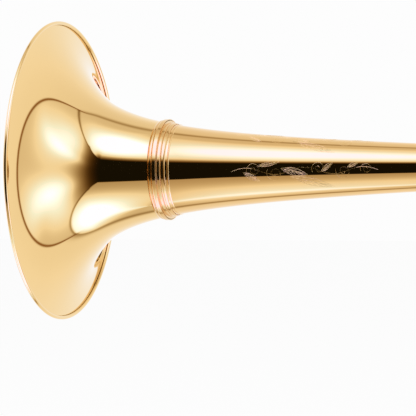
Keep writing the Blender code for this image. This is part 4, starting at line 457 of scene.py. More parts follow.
# Engraved scroll on the bell stem; curls give their centre's place behind the rim and around the
# stem, radius, start angle and winding; leaves give root, tip and bulge
STROKE_SINK = 0.00003
STROKE_RISE = 0.00005
STROKE_TIP = 0.2
VINE_WIDTH = 0.0009
VINE_POINTS = 60
RIB_WIDTH = 0.0004
RIB_POINTS = 4
RIB_LEAD = 0.22
RIB_REACH = 0.85
LEAF_POINTS = 16
LEAF_RIBS = 6
CURL_POINTS = 40
CURL_SWEEP = math.radians(560.0)
CURL_FALL = 0.85
SCROLL_START = 0.164
SCROLL_END = 0.288
SCROLL_WAVE = 0.0028
SCROLL_WAVES = 2.5
SCROLL_LEANS = (math.radians(-3.0), math.radians(68.0))
SCROLL_CURLS = (
    (0.183, 0.0012, 0.0062, math.radians(200.0), -1.0),
    (0.201, -0.0020, 0.0070, math.radians(150.0), 1.0),
    (0.238, 0.0020, 0.0060, math.radians(220.0), -1.0),
    (0.259, -0.0010, 0.0066, math.radians(160.0), 1.0),
    (0.278, 0.0010, 0.0050, math.radians(200.0), -1.0),
)
SCROLL_LEAVES = (
    ((0.206, 0.0022), (0.229, -0.0036), 0.0030),
    ((0.214, -0.0048), (0.251, -0.0150), 0.0034),
    ((0.174, -0.0010), (0.188, -0.0086), 0.0022),
    ((0.240, -0.0010), (0.250, 0.0066), 0.0018),
    ((0.186, 0.0042), (0.205, 0.0078), 0.0018),
    ((0.262, 0.0024), (0.272, 0.0070), 0.0015),
)

# Pieces that mirror each other
MIRRORED = ("bell_flare", "bell_rim_wire", "bell_ring_front", "bell_ring_rear")

# Camera, from the fit to the photo; the photo is 416 pixels wide
PHOTO_WIDTH = 416.0
FOCAL_PIXELS = 1500.0
SENSOR_WIDTH = 36.0
CLIP_END = 50.0
CAMERA_PLACE = (0.1181, -1.2571, -0.1498)
CAMERA_YAW = math.radians(16.3737)
CAMERA_PITCH = math.radians(2.3594)
CAMERA_ROLL = math.radians(0.7837)

# Studio
SEAM_SOFT = 0.9
SEAM_BROWN = (0.30, 0.12, 0.025, 1.0)
WHITE = (1.0, 1.0, 1.0, 1.0)
PALE = (0.93, 0.93, 0.93, 1.0)
BACKGROUND = 0.982
DIFFUSE_LIGHT = 0.85
FLOOR_SIZE = 16.0
FLOOR_DROP = 0.45
FLOOR_GLOW = 1.0
FLOOR_GLOW_SHARE = 0.85
LAMP_SIZE = (2.4, 1.6)
LAMP_POWER = 20.0
LAMP_PLACE = (-0.3, -0.9, 2.0)
LAMP_AIM = (-0.2, 0.0, -0.2)

X_AXIS = Vector((1.0, 0.0, 0.0))
Y_AXIS = Vector((0.0, 1.0, 0.0))
Z_AXIS = Vector((0.0, 0.0, 1.0))


def link(obj):
    bpy.context.scene.collection.objects.link(obj)
    return obj


def closed(mesh):
    bmesh.ops.remove_doubles(mesh, verts=mesh.verts, dist=MERGE_DISTANCE)
    bmesh.ops.recalc_face_normals(mesh, faces=mesh.faces)
    return mesh


def moved(mesh, *matrices):
    """Put a shell in its place: the last matrix acts first."""
    whole = Matrix.Identity(4)
    for matrix in matrices:
        whole = whole @ matrix
    bmesh.ops.transform(mesh, matrix=whole, verts=mesh.verts)
    return mesh


def shift(x, y=0.0, z=0.0):
    return Matrix.Translation((x, y, z))


def turn(angle, axis):
    return Matrix.Rotation(angle, 4, axis)


def rounded(outline, reach=EDGE_ROUND, steps=3):
    """Round the corners of a closed outline; points on the axis stay sharp."""
    points = [Vector(point) for point in outline]
    result = []
    for index, corner in enumerate(points):
        before = points[index - 1] - corner
        after = points[(index + 1) % len(points)] - corner
        on_axis = corner.y < MERGE_DISTANCE
        if on_axis or min(before.length, after.length) < MERGE_DISTANCE or before.angle(after) > STRAIGHT:
            result.append(corner)
            continue
        start = corner + before.normalized() * min(reach, before.length * 0.4)
        end = corner + after.normalized() * min(reach, after.length * 0.4)
        for step in range(steps + 1):
            t = step / steps
            result.append(start * (1.0 - t) ** 2 + corner * (2.0 * t * (1.0 - t)) + end * t ** 2)
    return [(point.x, point.y) for point in result]


def turned(outline, sides=ROUND_SIDES):
    """Spin an outline of (x, radius) points about the X axis."""
    mesh = bmesh.new()
    corners = [mesh.verts.new((x, 0.0, radius)) for x, radius in outline]
    edges = [mesh.edges.new(pair) for pair in zip(corners, corners[1:])]
    if outline[0][1] > 0.0 or outline[-1][1] > 0.0:
        edges.append(mesh.edges.new((corners[-1], corners[0])))
    bmesh.ops.spin(mesh, geom=corners + edges, cent=(0.0, 0.0, 0.0), axis=X_AXIS,
                   angle=2.0 * math.pi, steps=sides, use_merge=True)
    return closed(mesh)


def pipe(start, end, bore, radius, sides=ROUND_SIDES):
    return turned(rounded([(start, bore), (end, bore), (end, radius), (start, radius)]), sides)


def rod(start, end, radius, sides=SMALL_SIDES):
    return turned(rounded([(start, 0.0), (start, radius), (end, radius), (end, 0.0)]), sides)


def knurl(mesh, low, high, radius):
    """Straight ridges: every other line of points in a band is pressed in."""
    step = 2.0 * math.pi / KNURL_SIDES
    for vert in mesh.verts:
        out = math.hypot(vert.co.y, vert.co.z)
        if low <= vert.co.x <= high and out > radius - 10.0 * MERGE_DISTANCE:
            if round(math.atan2(vert.co.z, vert.co.y) / step) % 2:
                vert.co.y *= 1.0 - KNURL_DEPTH / out
                vert.co.z *= 1.0 - KNURL_DEPTH / out
    return mesh


def block(first, second, bevel=BLOCK_BEVEL):
    """A box between two corners with rounded edges."""
    low = Vector([min(pair) for pair in zip(first, second)])
    high = Vector([max(pair) for pair in zip(first, second)])
    mesh = bmesh.new()
    place = Matrix.Translation((low + high) / 2.0) @ Matrix.Diagonal((*(high - low), 1.0))
    bmesh.ops.create_cube(mesh, size=1.0, matrix=place)
    if bevel:
        bevel = min(bevel, min(high - low) * 0.45)
        bmesh.ops.bevel(mesh, geom=mesh.edges[:], offset=bevel, segments=3, profile=0.5, affect="EDGES")
    return mesh


class Route:
    """A tube's centre line, laid as a pipe bender lays it: straight runs and round bends.

    Each station holds its point, heading, side direction, bore and outer radius.
    """

    def __init__(self, start, heading, side, bore, radius):
        self.stations = [(Vector(start), Vector(heading).normalized(), Vector(side).normalized(), bore, radius)]

    def straight(self, length):
        point, heading, side, bore, radius = self.stations[-1]
        self.stations.append((point + heading * length, heading, side, bore, radius))
        return self

    def step(self, bore, radius):
        """Go on a hair further with another bore or outer radius, so that the shoulder is a real one."""
        point, heading, side, _, _ = self.stations[-1]
        self.stations.append((point + heading * SHOULDER, heading, side, bore, radius))
        return self

    def bend(self, angle, bow_radius, axis, end_bore=None, end_radius=None):
        """Turn the heading by an angle about an axis on a round arc, with a taper if ends are given."""
        point, heading, side, bore, radius = self.stations[-1]
        end_bore = bore if end_bore is None else end_bore
        end_radius = radius if end_radius is None else end_radius
        axis = Vector(axis).normalized()
        centre = point + axis.cross(heading) * bow_radius
        steps = max(4, round(abs(angle) / BEND_STEP))
        for step in range(1, steps + 1):
            share = step / steps
            spin = Matrix.Rotation(angle * share, 3, axis)
            self.stations.append((centre + spin @ (point - centre), spin @ heading, spin @ side,
                                  bore + (end_bore - bore) * share, radius + (end_radius - radius) * share))
        return self

    def sleeve(self):
        """From a sleeve's mouth, with its ring, back to the fixed tube that it is soldered over."""
        self.straight(SLEEVE_LENGTH - SLEEVE_GRIP - SHOULDER).step(MAIN_BORE, SLEEVE_RADIUS)
        return self.straight(SLEEVE_GRIP - SHOULDER).step(MAIN_BORE, MAIN_RADIUS)


def circle(mesh, point, heading, side, radius, sides):
    across = heading.cross(side)
    corners = []
    for index in range(sides):
        angle = 2.0 * math.pi * index / sides
        corners.append(mesh.verts.new(point + (side * math.cos(angle) + across * math.sin(angle)) * radius))
    return corners


def skin(mesh, rings, around=False):
    """Faces between neighbouring rings; around also joins the last ring to the first."""
    pairs = list(zip(rings, rings[1:]))
    if around:
        pairs.append((rings[-1], rings[0]))
    for first, second in pairs:
        for index in range(len(first)):
            after = (index + 1) % len(first)
            mesh.faces.new((first[index], first[after], second[after], second[index]))


def bent_pipe(route, sides=ROUND_SIDES):
    """A hollow tube along a route."""
    mesh = bmesh.new()
    outside = [circle(mesh, p, h, s, radius, sides) for p, h, s, _, radius in route.stations]
    inside = [circle(mesh, p, h, s, bore, sides) for p, h, s, bore, _ in route.stations]
    skin(mesh, outside + inside[::-1], around=True)
    return closed(mesh)


def coil(start, end, radius):
    """A round wire wound about the X axis."""
    mesh = bmesh.new()
    steps = SPRING_TURNS * COIL_STEPS
    rings = []
    for index in range(steps + 1):
        angle = 2.0 * math.pi * SPRING_TURNS * index / steps
        outward = Vector((0.0, math.cos(angle), math.sin(angle)))
        point = outward * radius + X_AXIS * (start + (end - start) * index / steps)
        heading = Vector((0.0, -math.sin(angle), math.cos(angle)))
        rings.append(circle(mesh, point, heading, X_AXIS, SPRING_WIRE_RADIUS, COIL_SIDES))
    skin(mesh, rings)
    mesh.faces.new(rings[0][::-1])
    mesh.faces.new(rings[-1])
    return closed(mesh)


BODY_OF = {node: body for body, nodes in frame["record"]["behaviour"]["bodies"].items() for node in nodes}
SLOT_OF = {part["node"]: part["material_slot"] for part in frame["record"]["subparts"]}


def piece(name, shells, body, slot, finish=None):
    """Join shells into one piece that rides on a body."""
    whole = bmesh.new()
    for shell in shells:
        data = bpy.data.meshes.new("shell")
        shell.to_mesh(data)
        shell.free()
        whole.from_mesh(data)
        bpy.data.meshes.remove(data)
    data = bpy.data.meshes.new(name)
    whole.to_mesh(data)
    whole.free()
    data.shade_smooth()
    data.set_sharp_from_angle(angle=SHARP_ANGLE)
    data.materials.append(finish or FINISHES[slot])
    obj = link(bpy.data.objects.new(name, data))
    obj.visible_glossy = name.removesuffix("_fine") in MIRRORED
    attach(obj, body)
    return obj


def fine(node, *shells):
    """The fine shape of a node, which takes its place, its body and its finish."""
    obj = piece(node + "_fine", shells, BODY_OF[node], SLOT_OF[node], FINISHES.get(node))
    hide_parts(node)
    return obj


def edge_radius():
    """Outer radius of the flare's sheet where the rolled rim starts."""
    return BELL_RIM_RADIUS - RIM_CURL_RADIUS - BELL_WALL / 2.0 - GAP


def neck_radius(s):
    """Outer radius of the neck and the stem, s behind the rim."""
    spread = edge_radius() + FLARE_OVERREACH - STEM_RADIUS
    return STEM_RADIUS - STEM_TAPER * s + spread * (1.0 + s / FLARE_LENGTH) ** -FLARE_POWER


def neck_slope(s):
    spread = edge_radius() + FLARE_OVERREACH - STEM_RADIUS
    return -STEM_TAPER - spread * FLARE_POWER / FLARE_LENGTH * (1.0 + s / FLARE_LENGTH) ** (-FLARE_POWER - 1.0)


def flare_radius(s):
    """Outer radius of the flare: a smooth blend from the edge to the neck's curve, and a lip over it."""
    if s >= FLARE_JOIN:
        return neck_radius(s)
    t = s / FLARE_JOIN
    lip = LIP_HEIGHT * (math.exp(-s / LIP_REACH) - math.exp(-FLARE_JOIN / LIP_REACH))
    start = (2.0 * t ** 3 - 3.0 * t ** 2 + 1.0) * (edge_radius() - LIP_HEIGHT)
    start_slope = (t ** 3 - 2.0 * t ** 2 + t) * FLARE_JOIN * RIM_SLOPE
    end = (3.0 * t ** 2 - 2.0 * t ** 3) * neck_radius(FLARE_JOIN)
    end_slope = (t ** 3 - t ** 2) * FLARE_JOIN * neck_slope(FLARE_JOIN)
    return lip + start - start_slope + end + end_slope


def stem_radius(s):
    """Outer radius of the stem, which eases from the flare's curve into the tail sleeve."""
    if s <= TAIL_START:
        return flare_radius(s)
    taper_end = BELL_LENGTH - TAIL_SLEEVE_LENGTH
    if s >= taper_end:
        return TAIL_RADIUS
    rise = neck_radius(TAIL_START) - TAIL_RADIUS
    length = taper_end - TAIL_START
    power = -neck_slope(TAIL_START) * length / rise
    return TAIL_RADIUS + rise * ((taper_end - s) / length) ** power


def on_bell(outline, sides=BELL_SIDES):
    """A turned shell on the bell's axis, its places measured behind the rim."""
    return moved(turned(outline, sides), shift(BELL_RIM_X, 0.0, -BELL_DROP))


def arc(centre, radius, start, sweep, steps):
    """Points on a round arc of the outline, both angles in radians."""
    angles = [start + sweep * step / steps for step in range(steps + 1)]
    return [(centre[0] + radius * math.cos(a), centre[1] + radius * math.sin(a)) for a in angles]


def make_flare():
    """Sheet flare whose edge is rolled back round a wire."""
    back = []
    front = []
    for index in range(FLARE_STEPS, -1, -1):
        s = FLARE_END * (index / FLARE_STEPS) ** FLARE_CROWDING
        radius = flare_radius(s)
        slope = (flare_radius(s + SLOPE_STEP) - radius) / SLOPE_STEP
        size = math.hypot(1.0, slope)
        back.append((s, radius))
        front.append((s + slope / size * BELL_WALL, radius - BELL_WALL / size))
    outward = (Vector(back[-1]) - Vector(front[-1])).normalized()
    centre = (Vector(back[-1]) + Vector(front[-1])) / 2.0 + outward * (RIM_CURL_RADIUS - RIM_SPARE)
    start = math.atan2(-outward.y, -outward.x)
    outer = arc(centre, RIM_CURL_RADIUS - RIM_SPARE + BELL_WALL / 2.0, start, -RIM_CURL_TURN, CURL_STEPS)[1:]
    inner = arc(centre, RIM_CURL_RADIUS - RIM_SPARE - BELL_WALL / 2.0, start, -RIM_CURL_TURN, CURL_STEPS)[1:]
    fine("bell_flare", on_bell(front + outer + inner[::-1] + back[::-1]))
    wire = arc(centre, RIM_WIRE_RADIUS, 0.0, 2.0 * math.pi, WIRE_SIDES)[:-1]
    fine("bell_rim_wire", on_bell(wire))


def hump(start, end, low, rise):
    """A turned bead between two places, as a half wave over a line of one radius."""
    shares = [step / BEAD_STEPS for step in range(BEAD_STEPS + 1)]
    return [(start + (end - start) * share, low + rise * math.sin(math.pi * share)) for share in shares]


def make_bell_ring():
    """Screw ring: two beads and a plain band on the flare's half, a spigot and a wide bead behind."""
    joint = RING_START + RING_FRONT_LENGTH
    end = joint + RING_REAR_LENGTH
    spigot = flare_radius(FLARE_END) + RING_THREAD_HEIGHT - RING_SPARE
    band = flare_radius(joint) + RING_HEIGHT - RING_SPARE
    fine("bell_ring_front", on_bell(rounded([
        (RING_START, flare_radius(RING_START) + GAP),
        (FLARE_END + GAP, flare_radius(FLARE_END) + GAP),
        (FLARE_END + GAP, spigot + GAP),
        (joint, spigot + GAP),
        *[(RING_START + place, band + rise) for place, rise in RING_OUTLINE],
    ], RING_ROUND)))
    recess = band - RING_REAR_STEP
    seat = STEM_START - GAP
    bead = []
    for step in range(BEAD_STEPS + 1):
        share = step / BEAD_STEPS
        s = end - RING_WIDE_BEAD_LENGTH * share
        bead.append((s, flare_radius(s) + RING_BEAD_FOOT + RING_BEAD_RISE * math.sin(math.pi * share)))
    fine("bell_ring_rear", on_bell(rounded([
        (FLARE_END + 2.0 * GAP, flare_radius(FLARE_END) - BELL_WALL),
        (seat, flare_radius(seat) - BELL_WALL),
        (seat, flare_radius(seat) + GAP),
        (end, flare_radius(end) + GAP),
        *bead,
        (end - RING_WIDE_BEAD_LENGTH - GAP, recess),
        (joint + GAP, recess),
        (joint + GAP, spigot),
        (FLARE_END + 2.0 * GAP, spigot),
    ], INSET)))
    return end


def make_stem(ring_end):
    """Stem sheet from the screw ring to the tail sleeve, with a thin collar behind the ring."""
    taper_end = BELL_LENGTH - TAIL_SLEEVE_LENGTH
    places = [STEM_START + (taper_end - STEM_START) * k / STEM_STEPS for k in range(STEM_STEPS + 1)]
    places.append(BELL_LENGTH)
    outside = [(s, stem_radius(s)) for s in places]
    inside = [(s, stem_radius(s) - BELL_WALL) for s in places]
    collar_start = ring_end + GAP / 2.0
    collar_end = collar_start + THIN_COLLAR_LENGTH
    bead = collar_end - THIN_COLLAR_BEAD
    collar = rounded([
        (collar_start, stem_radius(collar_start) - BELL_WALL / 2.0),
        (collar_end, stem_radius(collar_end) - BELL_WALL / 2.0),
        (collar_end, stem_radius(collar_end) + THIN_COLLAR_WALL),
        (bead, stem_radius(bead) + THIN_COLLAR_RISE),
        (bead - THIN_COLLAR_BEAD, stem_radius(bead) + THIN_COLLAR_WALL),
        (collar_start, stem_radius(collar_start) + THIN_COLLAR_WALL / 2.0),
    ], INSET)
    mouth = sleeve_ring(BELL_LENGTH, TAIL_RADIUS - BELL_WALL, TAIL_RADIUS)
    fine("bell_stem", on_bell(outside + inside[::-1]), on_bell(collar), on_bell(mouth))


def ferrule(joint, grip_sign, place=Matrix.Identity(4)):
    """Ring with two beads, soldered on one tube's end at a joint and slipped over the next tube's end.

    grip_sign says on which side of the joint, along X, the tube lies that carries it.
    """
    half = FERRULE_LENGTH / 2.0
    inside = (MAIN_BORE + MAIN_RADIUS) / 2.0
    loose = MAIN_RADIUS + GAP
    high = loose + FERRULE_WALL
    low = high - FERRULE_DIP
    outline = [
        (half, inside),
        (0.0, inside),
        (0.0, loose),
        (-FERRULE_LAP, loose),
        (-FERRULE_LAP, high),
        (FERRULE_BEAD - FERRULE_LAP, high),
        (FERRULE_BEAD - FERRULE_LAP + FERRULE_DIP, low),
        (half - FERRULE_BEAD - FERRULE_DIP, low),
        (half - FERRULE_BEAD, high),
        (half - FERRULE_DIP, high),
        (half, high - FERRULE_CHAMFER),
    ]
    flip = turn(math.pi if grip_sign < 0.0 else 0.0, "Z")
    return moved(turned(rounded(outline, FERRULE_DIP)), place, shift(*joint), flip)


def sleeve_ring(mouth_x, bore, radius):
    """Outline of the thicker ring round an outer slide's mouth."""
    return rounded([
        (mouth_x - SLEEVE_RING, (bore + radius) / 2.0),
        (mouth_x - INSET, (bore + radius) / 2.0),
        (mouth_x - INSET, radius + SLEEVE_RING_WALL),
        (mouth_x - SLEEVE_RING, radius + SLEEVE_RING_WALL),
    ])


def sleeve_mouth(x, y, z, place=Matrix.Identity(4)):
    """The mouth ring of a tuning slide's outer tube, in its place."""
    return moved(turned(sleeve_ring(x, SLEEVE_BORE, SLEEVE_RADIUS)), place, shift(0.0, y, z))


def bar_radius(radius, place, start, end, foot, bead=0.0):
    """A brace's bar swells at both feet and, where it has one, at its middle bead."""
    swell = math.exp(-((place - start) / foot) ** 2) + math.exp(-((end - place) / foot) ** 2)
    if bead:
        swell += math.exp(-((place - (start + end) / 2.0) / bead) ** 2)
    return radius * (1.0 + (BRACE_SWELL - 1.0) * swell)


def brace_shells(place, collars, spacing, length, wall, radius, foot, bead=0.0):
    """Two collars along X, the second one below the first, and the turned bar between them.

    collars gives each collar's bore at its front and at its back.
    """
    half = length / 2.0
    shells = []
    for (front, back), drop in zip(collars, (0.0, -spacing)):
        outline = rounded([(-half, front), (half, back), (half, back + wall), (-half, front + wall)])
        shells.append(moved(turned(outline), place, shift(0.0, 0.0, drop)))
    start = max(collars[0]) + BRACE_SINK
    end = spacing - max(collars[1]) - BRACE_SINK
    outline = [(start, 0.0)]
    for step in range(BAR_STEPS + 1):
        at = start + (end - start) * step / BAR_STEPS
        outline.append((at, bar_radius(radius, at, start, end, foot, bead)))
    outline.append((end, 0.0))
    shells.append(moved(turned(outline, SMALL_SIDES), place, turn(math.pi / 2.0, "Y")))
    return shells


def tube_brace(node, place, tops, bottoms, spacing):
    collars = [[radius + GAP for radius in ends] for ends in (tops, bottoms)]
    fine(node, *brace_shells(place, collars, spacing, BRACE_COLLAR_LENGTH, BRACE_COLLAR_WALL,
                             BRACE_ROD_RADIUS, BRACE_FOOT, BRACE_BEAD / 2.0))


def make_braces():
    reach = BRACE_COLLAR_LENGTH / 2.0
    for node, x, radius in (
        ("bell_brace_front", BELL_BRACE_FRONT_X, RECEIVER_BODY_RADIUS),
        ("bell_brace_rear", BELL_BRACE_REAR_X, MAIN_RADIUS),
    ):
        ends = [stem_radius(x + step - BELL_RIM_X) for step in (-reach, reach)]
        tube_brace(node, shift(x), (radius, radius), ends, BELL_DROP)
    same = (MAIN_RADIUS, MAIN_RADIUS)
    tube_brace("wrap_brace", shift(WRAP_BRACE_X, WRAP_OFFSET), same, same, WRAP_DROP)


def make_receiver():
    """Socket for the slide's tenon, with the male thread for the lock nut, and the neckpipe behind it."""
    ring_end = RECEIVER_THREAD_LENGTH + RECEIVER_RING_LENGTH
    end_ring = RECEIVER_LENGTH - RECEIVER_RING_LENGTH
    neck_end = VALVE_1_X - PORT_REACH - GAP / 2.0
    thread = []
    for step in range(THREAD_TURNS):
        x = RECEIVER_THREAD_LENGTH - THREAD_RUN_OUT - step * THREAD_PITCH
        thread += [(x, RECEIVER_THREAD_RADIUS), (x - THREAD_PITCH / 2.0, RECEIVER_THREAD_RADIUS - THREAD_DEPTH)]
    fine("slide_receiver", turned(rounded([
        (0.0, RECEIVER_MOUTH_RADIUS),
        (RECEIVER_SOCKET_DEPTH, RECEIVER_END_RADIUS),
        (RECEIVER_SOCKET_DEPTH, MAIN_BORE),
        (neck_end, MAIN_BORE),
        (neck_end, MAIN_RADIUS),
        (RECEIVER_LENGTH, MAIN_RADIUS),
        *hump(RECEIVER_LENGTH, end_ring, RECEIVER_BODY_RADIUS, RECEIVER_END_BEAD),
        (ring_end, RECEIVER_BODY_RADIUS),
        (ring_end, RECEIVER_RING_RADIUS - RECEIVER_RING_EDGE),
        (ring_end - RECEIVER_RING_CHAMFER, RECEIVER_RING_RADIUS),
        (RECEIVER_THREAD_LENGTH + RECEIVER_RING_CHAMFER, RECEIVER_RING_RADIUS),
        (RECEIVER_THREAD_LENGTH, RECEIVER_RING_RADIUS - RECEIVER_RING_EDGE),
        (RECEIVER_THREAD_LENGTH, RECEIVER_THREAD_RADIUS - THREAD_DEPTH),
        *thread,
        (0.0, RECEIVER_THREAD_RADIUS - THREAD_DEPTH),
    ], THREAD_PITCH / 4.0)), ferrule((VALVE_1_X - PORT_REACH, 0.0, 0.0), -1.0))


def tuning_slide(node, start, bow_radius, legs, place, side=Z_AXIS, extra=()):
    """Two legs, their end rings and the bow between them, which bends about Y down to the second leg."""
    (first_bore, first_radius), (second_bore, second_radius) = legs
    route = Route(start, X_AXIS, side, first_bore, first_radius)
    route.straight(SLIDE_LEG_LENGTH + SLIDE_FERRULE_LENGTH - INSET)
    route.bend(math.pi, bow_radius, Y_AXIS, second_bore, second_radius)
    route.straight(SLIDE_FERRULE_LENGTH + SLIDE_LEG_LENGTH - INSET)
    shells = [moved(bent_pipe(route), place)]
    for (_, radius), drop in zip(legs, (0.0, -2.0 * bow_radius)):
        ring_start = start[0] + SLIDE_LEG_LENGTH
        ring_end = ring_start + SLIDE_FERRULE_LENGTH
        high = radius + SLIP_FIT + TUBE_WALL
        outline = rounded([
            (ring_start, radius - TUBE_WALL / 2.0),
            (ring_end, radius - TUBE_WALL / 2.0),
            (ring_end, high - FERRULE_DIP),
            (ring_end - FERRULE_BEAD, high),
            (ring_end - FERRULE_BEAD - FERRULE_DIP, high - FERRULE_DIP),
            (ring_start + FERRULE_BEAD + FERRULE_DIP, high - FERRULE_DIP),
            (ring_start + FERRULE_BEAD, high),
            (ring_start, high),
        ], FERRULE_DIP)
        shells.append(moved(turned(outline), place, shift(0.0, start[1], start[2] + drop)))
    fine(node, *shells, *extra)


def make_loops():
    """The two valve loops, each laid in its valve's leaning plane."""
    depth = -LOOP_DEPTH
    butt = GAP / 2.0
    tube = (MAIN_BORE, MAIN_RADIUS)
    mouth = (SLEEVE_BORE, SLEEVE_RADIUS)

    plane = turn(-VALVE_TILT, "X")
    left_port = VALVE_1_X - PORT_REACH
    right_port = VALVE_1_X + PORT_REACH
    upper = Route((LOOP_1_SLIDE_X, 0.0, depth), -X_AXIS, Z_AXIS, *mouth).sleeve()
    upper.straight(LOOP_1_SLIDE_X - SLEEVE_LENGTH - right_port - butt)
    fine("loop_1_upper_tube", moved(bent_pipe(upper), plane), ferrule((right_port, 0.0, depth), 1.0, plane),
         sleeve_mouth(LOOP_1_SLIDE_X, 0.0, depth, plane))

    lowest = depth - 2.0 * LOOP_1_BOW_RADIUS
    second = depth - LOOP_1_STEP
    third = lowest + LOOP_1_STEP
    joint = LOOP_1_INNER_BOW_X
    line = Route((joint - butt, LOOP_1_SIDE_STEP, third), -X_AXIS, Z_AXIS, *tube)
    line.straight(joint - butt - LOOP_1_OUTER_BOW_X)
    rise = Vector((0.0, -LOOP_1_SIDE_STEP, depth - third))
    line.bend(math.pi, rise.length / 2.0, rise.cross(X_AXIS))
    line.straight(left_port - butt - LOOP_1_OUTER_BOW_X)
    fine("loop_1_front_bow", moved(bent_pipe(line), plane), ferrule((left_port, 0.0, depth), -1.0, plane),
         ferrule((joint, LOOP_1_SIDE_STEP, third), -1.0, plane))

    middle = Route((LOOP_1_SLIDE_X, 0.0, lowest), -X_AXIS, Z_AXIS, *mouth).sleeve()
    middle.straight(LOOP_1_SLIDE_X - SLEEVE_LENGTH - LOOP_1_LOWER_BOW_X)
    middle.bend(math.pi, (second - lowest) / 2.0, Y_AXIS)
    middle.straight(joint - LOOP_1_LOWER_BOW_X + FERRULE_LENGTH / 2.0)
    fall = Vector((0.0, LOOP_1_SIDE_STEP, third - second))
    middle.bend(math.pi, fall.length / 2.0, X_AXIS.cross(fall)).straight(FERRULE_LENGTH / 2.0 - butt)
    fine("loop_1_middle_tube", moved(bent_pipe(middle), plane), sleeve_mouth(LOOP_1_SLIDE_X, 0.0, lowest, plane))
    start = (LOOP_1_SLIDE_X + GAP - SLIDE_LEG_LENGTH, 0.0, depth)
    tuning_slide("loop_1_tuning_slide", start, LOOP_1_BOW_RADIUS, (tube, tube), plane)

    plane = turn(VALVE_TILT, "X")
    left_port = VALVE_2_X - PORT_REACH
    deep = depth - 2.0 * LOOP_2_BOW_RADIUS
    line = Route((LOOP_2_SLIDE_X, 0.0, deep), -X_AXIS, Z_AXIS, *mouth).sleeve()
    line.straight(LOOP_2_SLIDE_X - SLEEVE_LENGTH - LOOP_2_FRONT_BOW_X)
    line.bend(math.pi, LOOP_2_BOW_RADIUS, Y_AXIS).straight(left_port - butt - LOOP_2_FRONT_BOW_X)
    fine("loop_2_front_bow", moved(bent_pipe(line), plane), ferrule((left_port, 0.0, depth), -1.0, plane),
         sleeve_mouth(LOOP_2_SLIDE_X, 0.0, deep, plane))
    start = (LOOP_2_SLIDE_X + GAP - SLIDE_LEG_LENGTH, 0.0, depth)
    tuning_slide("loop_2_tuning_slide", start, LOOP_2_BOW_RADIUS, (tube, tube), plane)


def make_wrap():
    """Gooseneck with its rear bow, the lower return tube with the front bow, and the main tuning slide."""
    butt = GAP / 2.0
    start = VALVE_2_X + PORT_REACH + butt
    bow = Route((start, 0.0, 0.0), X_AXIS, Z_AXIS, MAIN_BORE, MAIN_RADIUS).straight(REAR_BOW_X - start)
    bow.bend(math.pi, WRAP_OFFSET / 2.0, Z_AXIS).straight(REAR_BOW_X - FRONT_BOW_X - butt)
    fine("gooseneck_bow", bent_pipe(bow), ferrule((start - butt, 0.0, 0.0), 1.0))
    rest = Route((BELL_TAIL_X, WRAP_OFFSET, -WRAP_DROP), -X_AXIS, Z_AXIS, SLEEVE_BORE, SLEEVE_RADIUS).sleeve()
    rest.straight(BELL_TAIL_X - SLEEVE_LENGTH - FRONT_BOW_X)
    rest.bend(math.pi, WRAP_DROP / 2.0, Y_AXIS).straight(butt)
    fine("lower_return_tube", bent_pipe(rest), ferrule((FRONT_BOW_X, WRAP_OFFSET, 0.0), -1.0),
         sleeve_mouth(BELL_TAIL_X, WRAP_OFFSET, -WRAP_DROP))

    across = Vector((0.0, -WRAP_OFFSET, WRAP_DROP - BELL_DROP))
    tilt = math.atan2(across.y, -across.z)
    place = shift(0.0, WRAP_OFFSET, -WRAP_DROP) @ turn(tilt, "X")
    stem_leg = TAIL_RADIUS - BELL_WALL - SLIP_FIT
    legs = ((MAIN_BORE, MAIN_RADIUS), (stem_leg - TUBE_WALL, stem_leg))
    bow_radius = across.length / 2.0
    inset = bow_radius - math.sqrt(bow_radius ** 2 - MAIN_BAR_REACH ** 2)
    bar_start = inset + MAIN_BORE - MAIN_BAR_SINK
    bar_end = across.length - bar_start
    bar = SLIDE_BRACE_RADIUS / BRACE_SWELL
    outline = [(bar_start, 0.0)]
    for step in range(BAR_STEPS + 1):
        at = bar_start + (bar_end - bar_start) * step / BAR_STEPS
        outline.append((at, bar_radius(bar, at, bar_start, bar_end, BRACE_FOOT)))
    outline.append((bar_end, 0.0))
    brace = moved(turned(outline, SMALL_SIDES), place, shift(MAIN_BAR_X), turn(math.pi / 2.0, "Y"))
    start = (BELL_TAIL_X + GAP - SLIDE_LEG_LENGTH, 0.0, 0.0)
    tuning_slide("main_tuning_slide", start, bow_radius, legs, place, extra=(brace,))


def spoke(angle, radius, side):
    """Where an angle in the valve's XZ plane lies in a frame whose X axis is the spindle."""
    return (0.0, side * radius * math.cos(angle), radius * math.sin(angle))


def spindle_turn(angle, side):
    """Turn about the spindle that brings the frame's Y axis to an angle in the valve's XZ plane."""
    _, y, z = spoke(angle, 1.0, side)
    return math.atan2(z, y)


def valve_place(x, side):
    """The thumb valve (side 1) leans to -Y and the finger valve (side -1) to +Y."""
    return shift(x) @ turn(-side * VALVE_TILT, "X") @ shift(0.0, 0.0, -VALVE_DROP)


def knuckle(x_sign, z_sign):
    """One port tube: out of the casing at 45 degrees, then round to run along X."""
    direction = Vector((x_sign, 0.0, z_sign)).normalized()
    root = CASING_RADIUS - CASING_WALL / 2.0
    route = Route(direction * root, direction, Y_AXIS.cross(direction), MAIN_BORE, MAIN_RADIUS)
    route.straight(KNUCKLE_START - root)
    return bent_pipe(route.bend(math.radians(45.0), KNUCKLE_BEND, Y_AXIS * x_sign * z_sign))


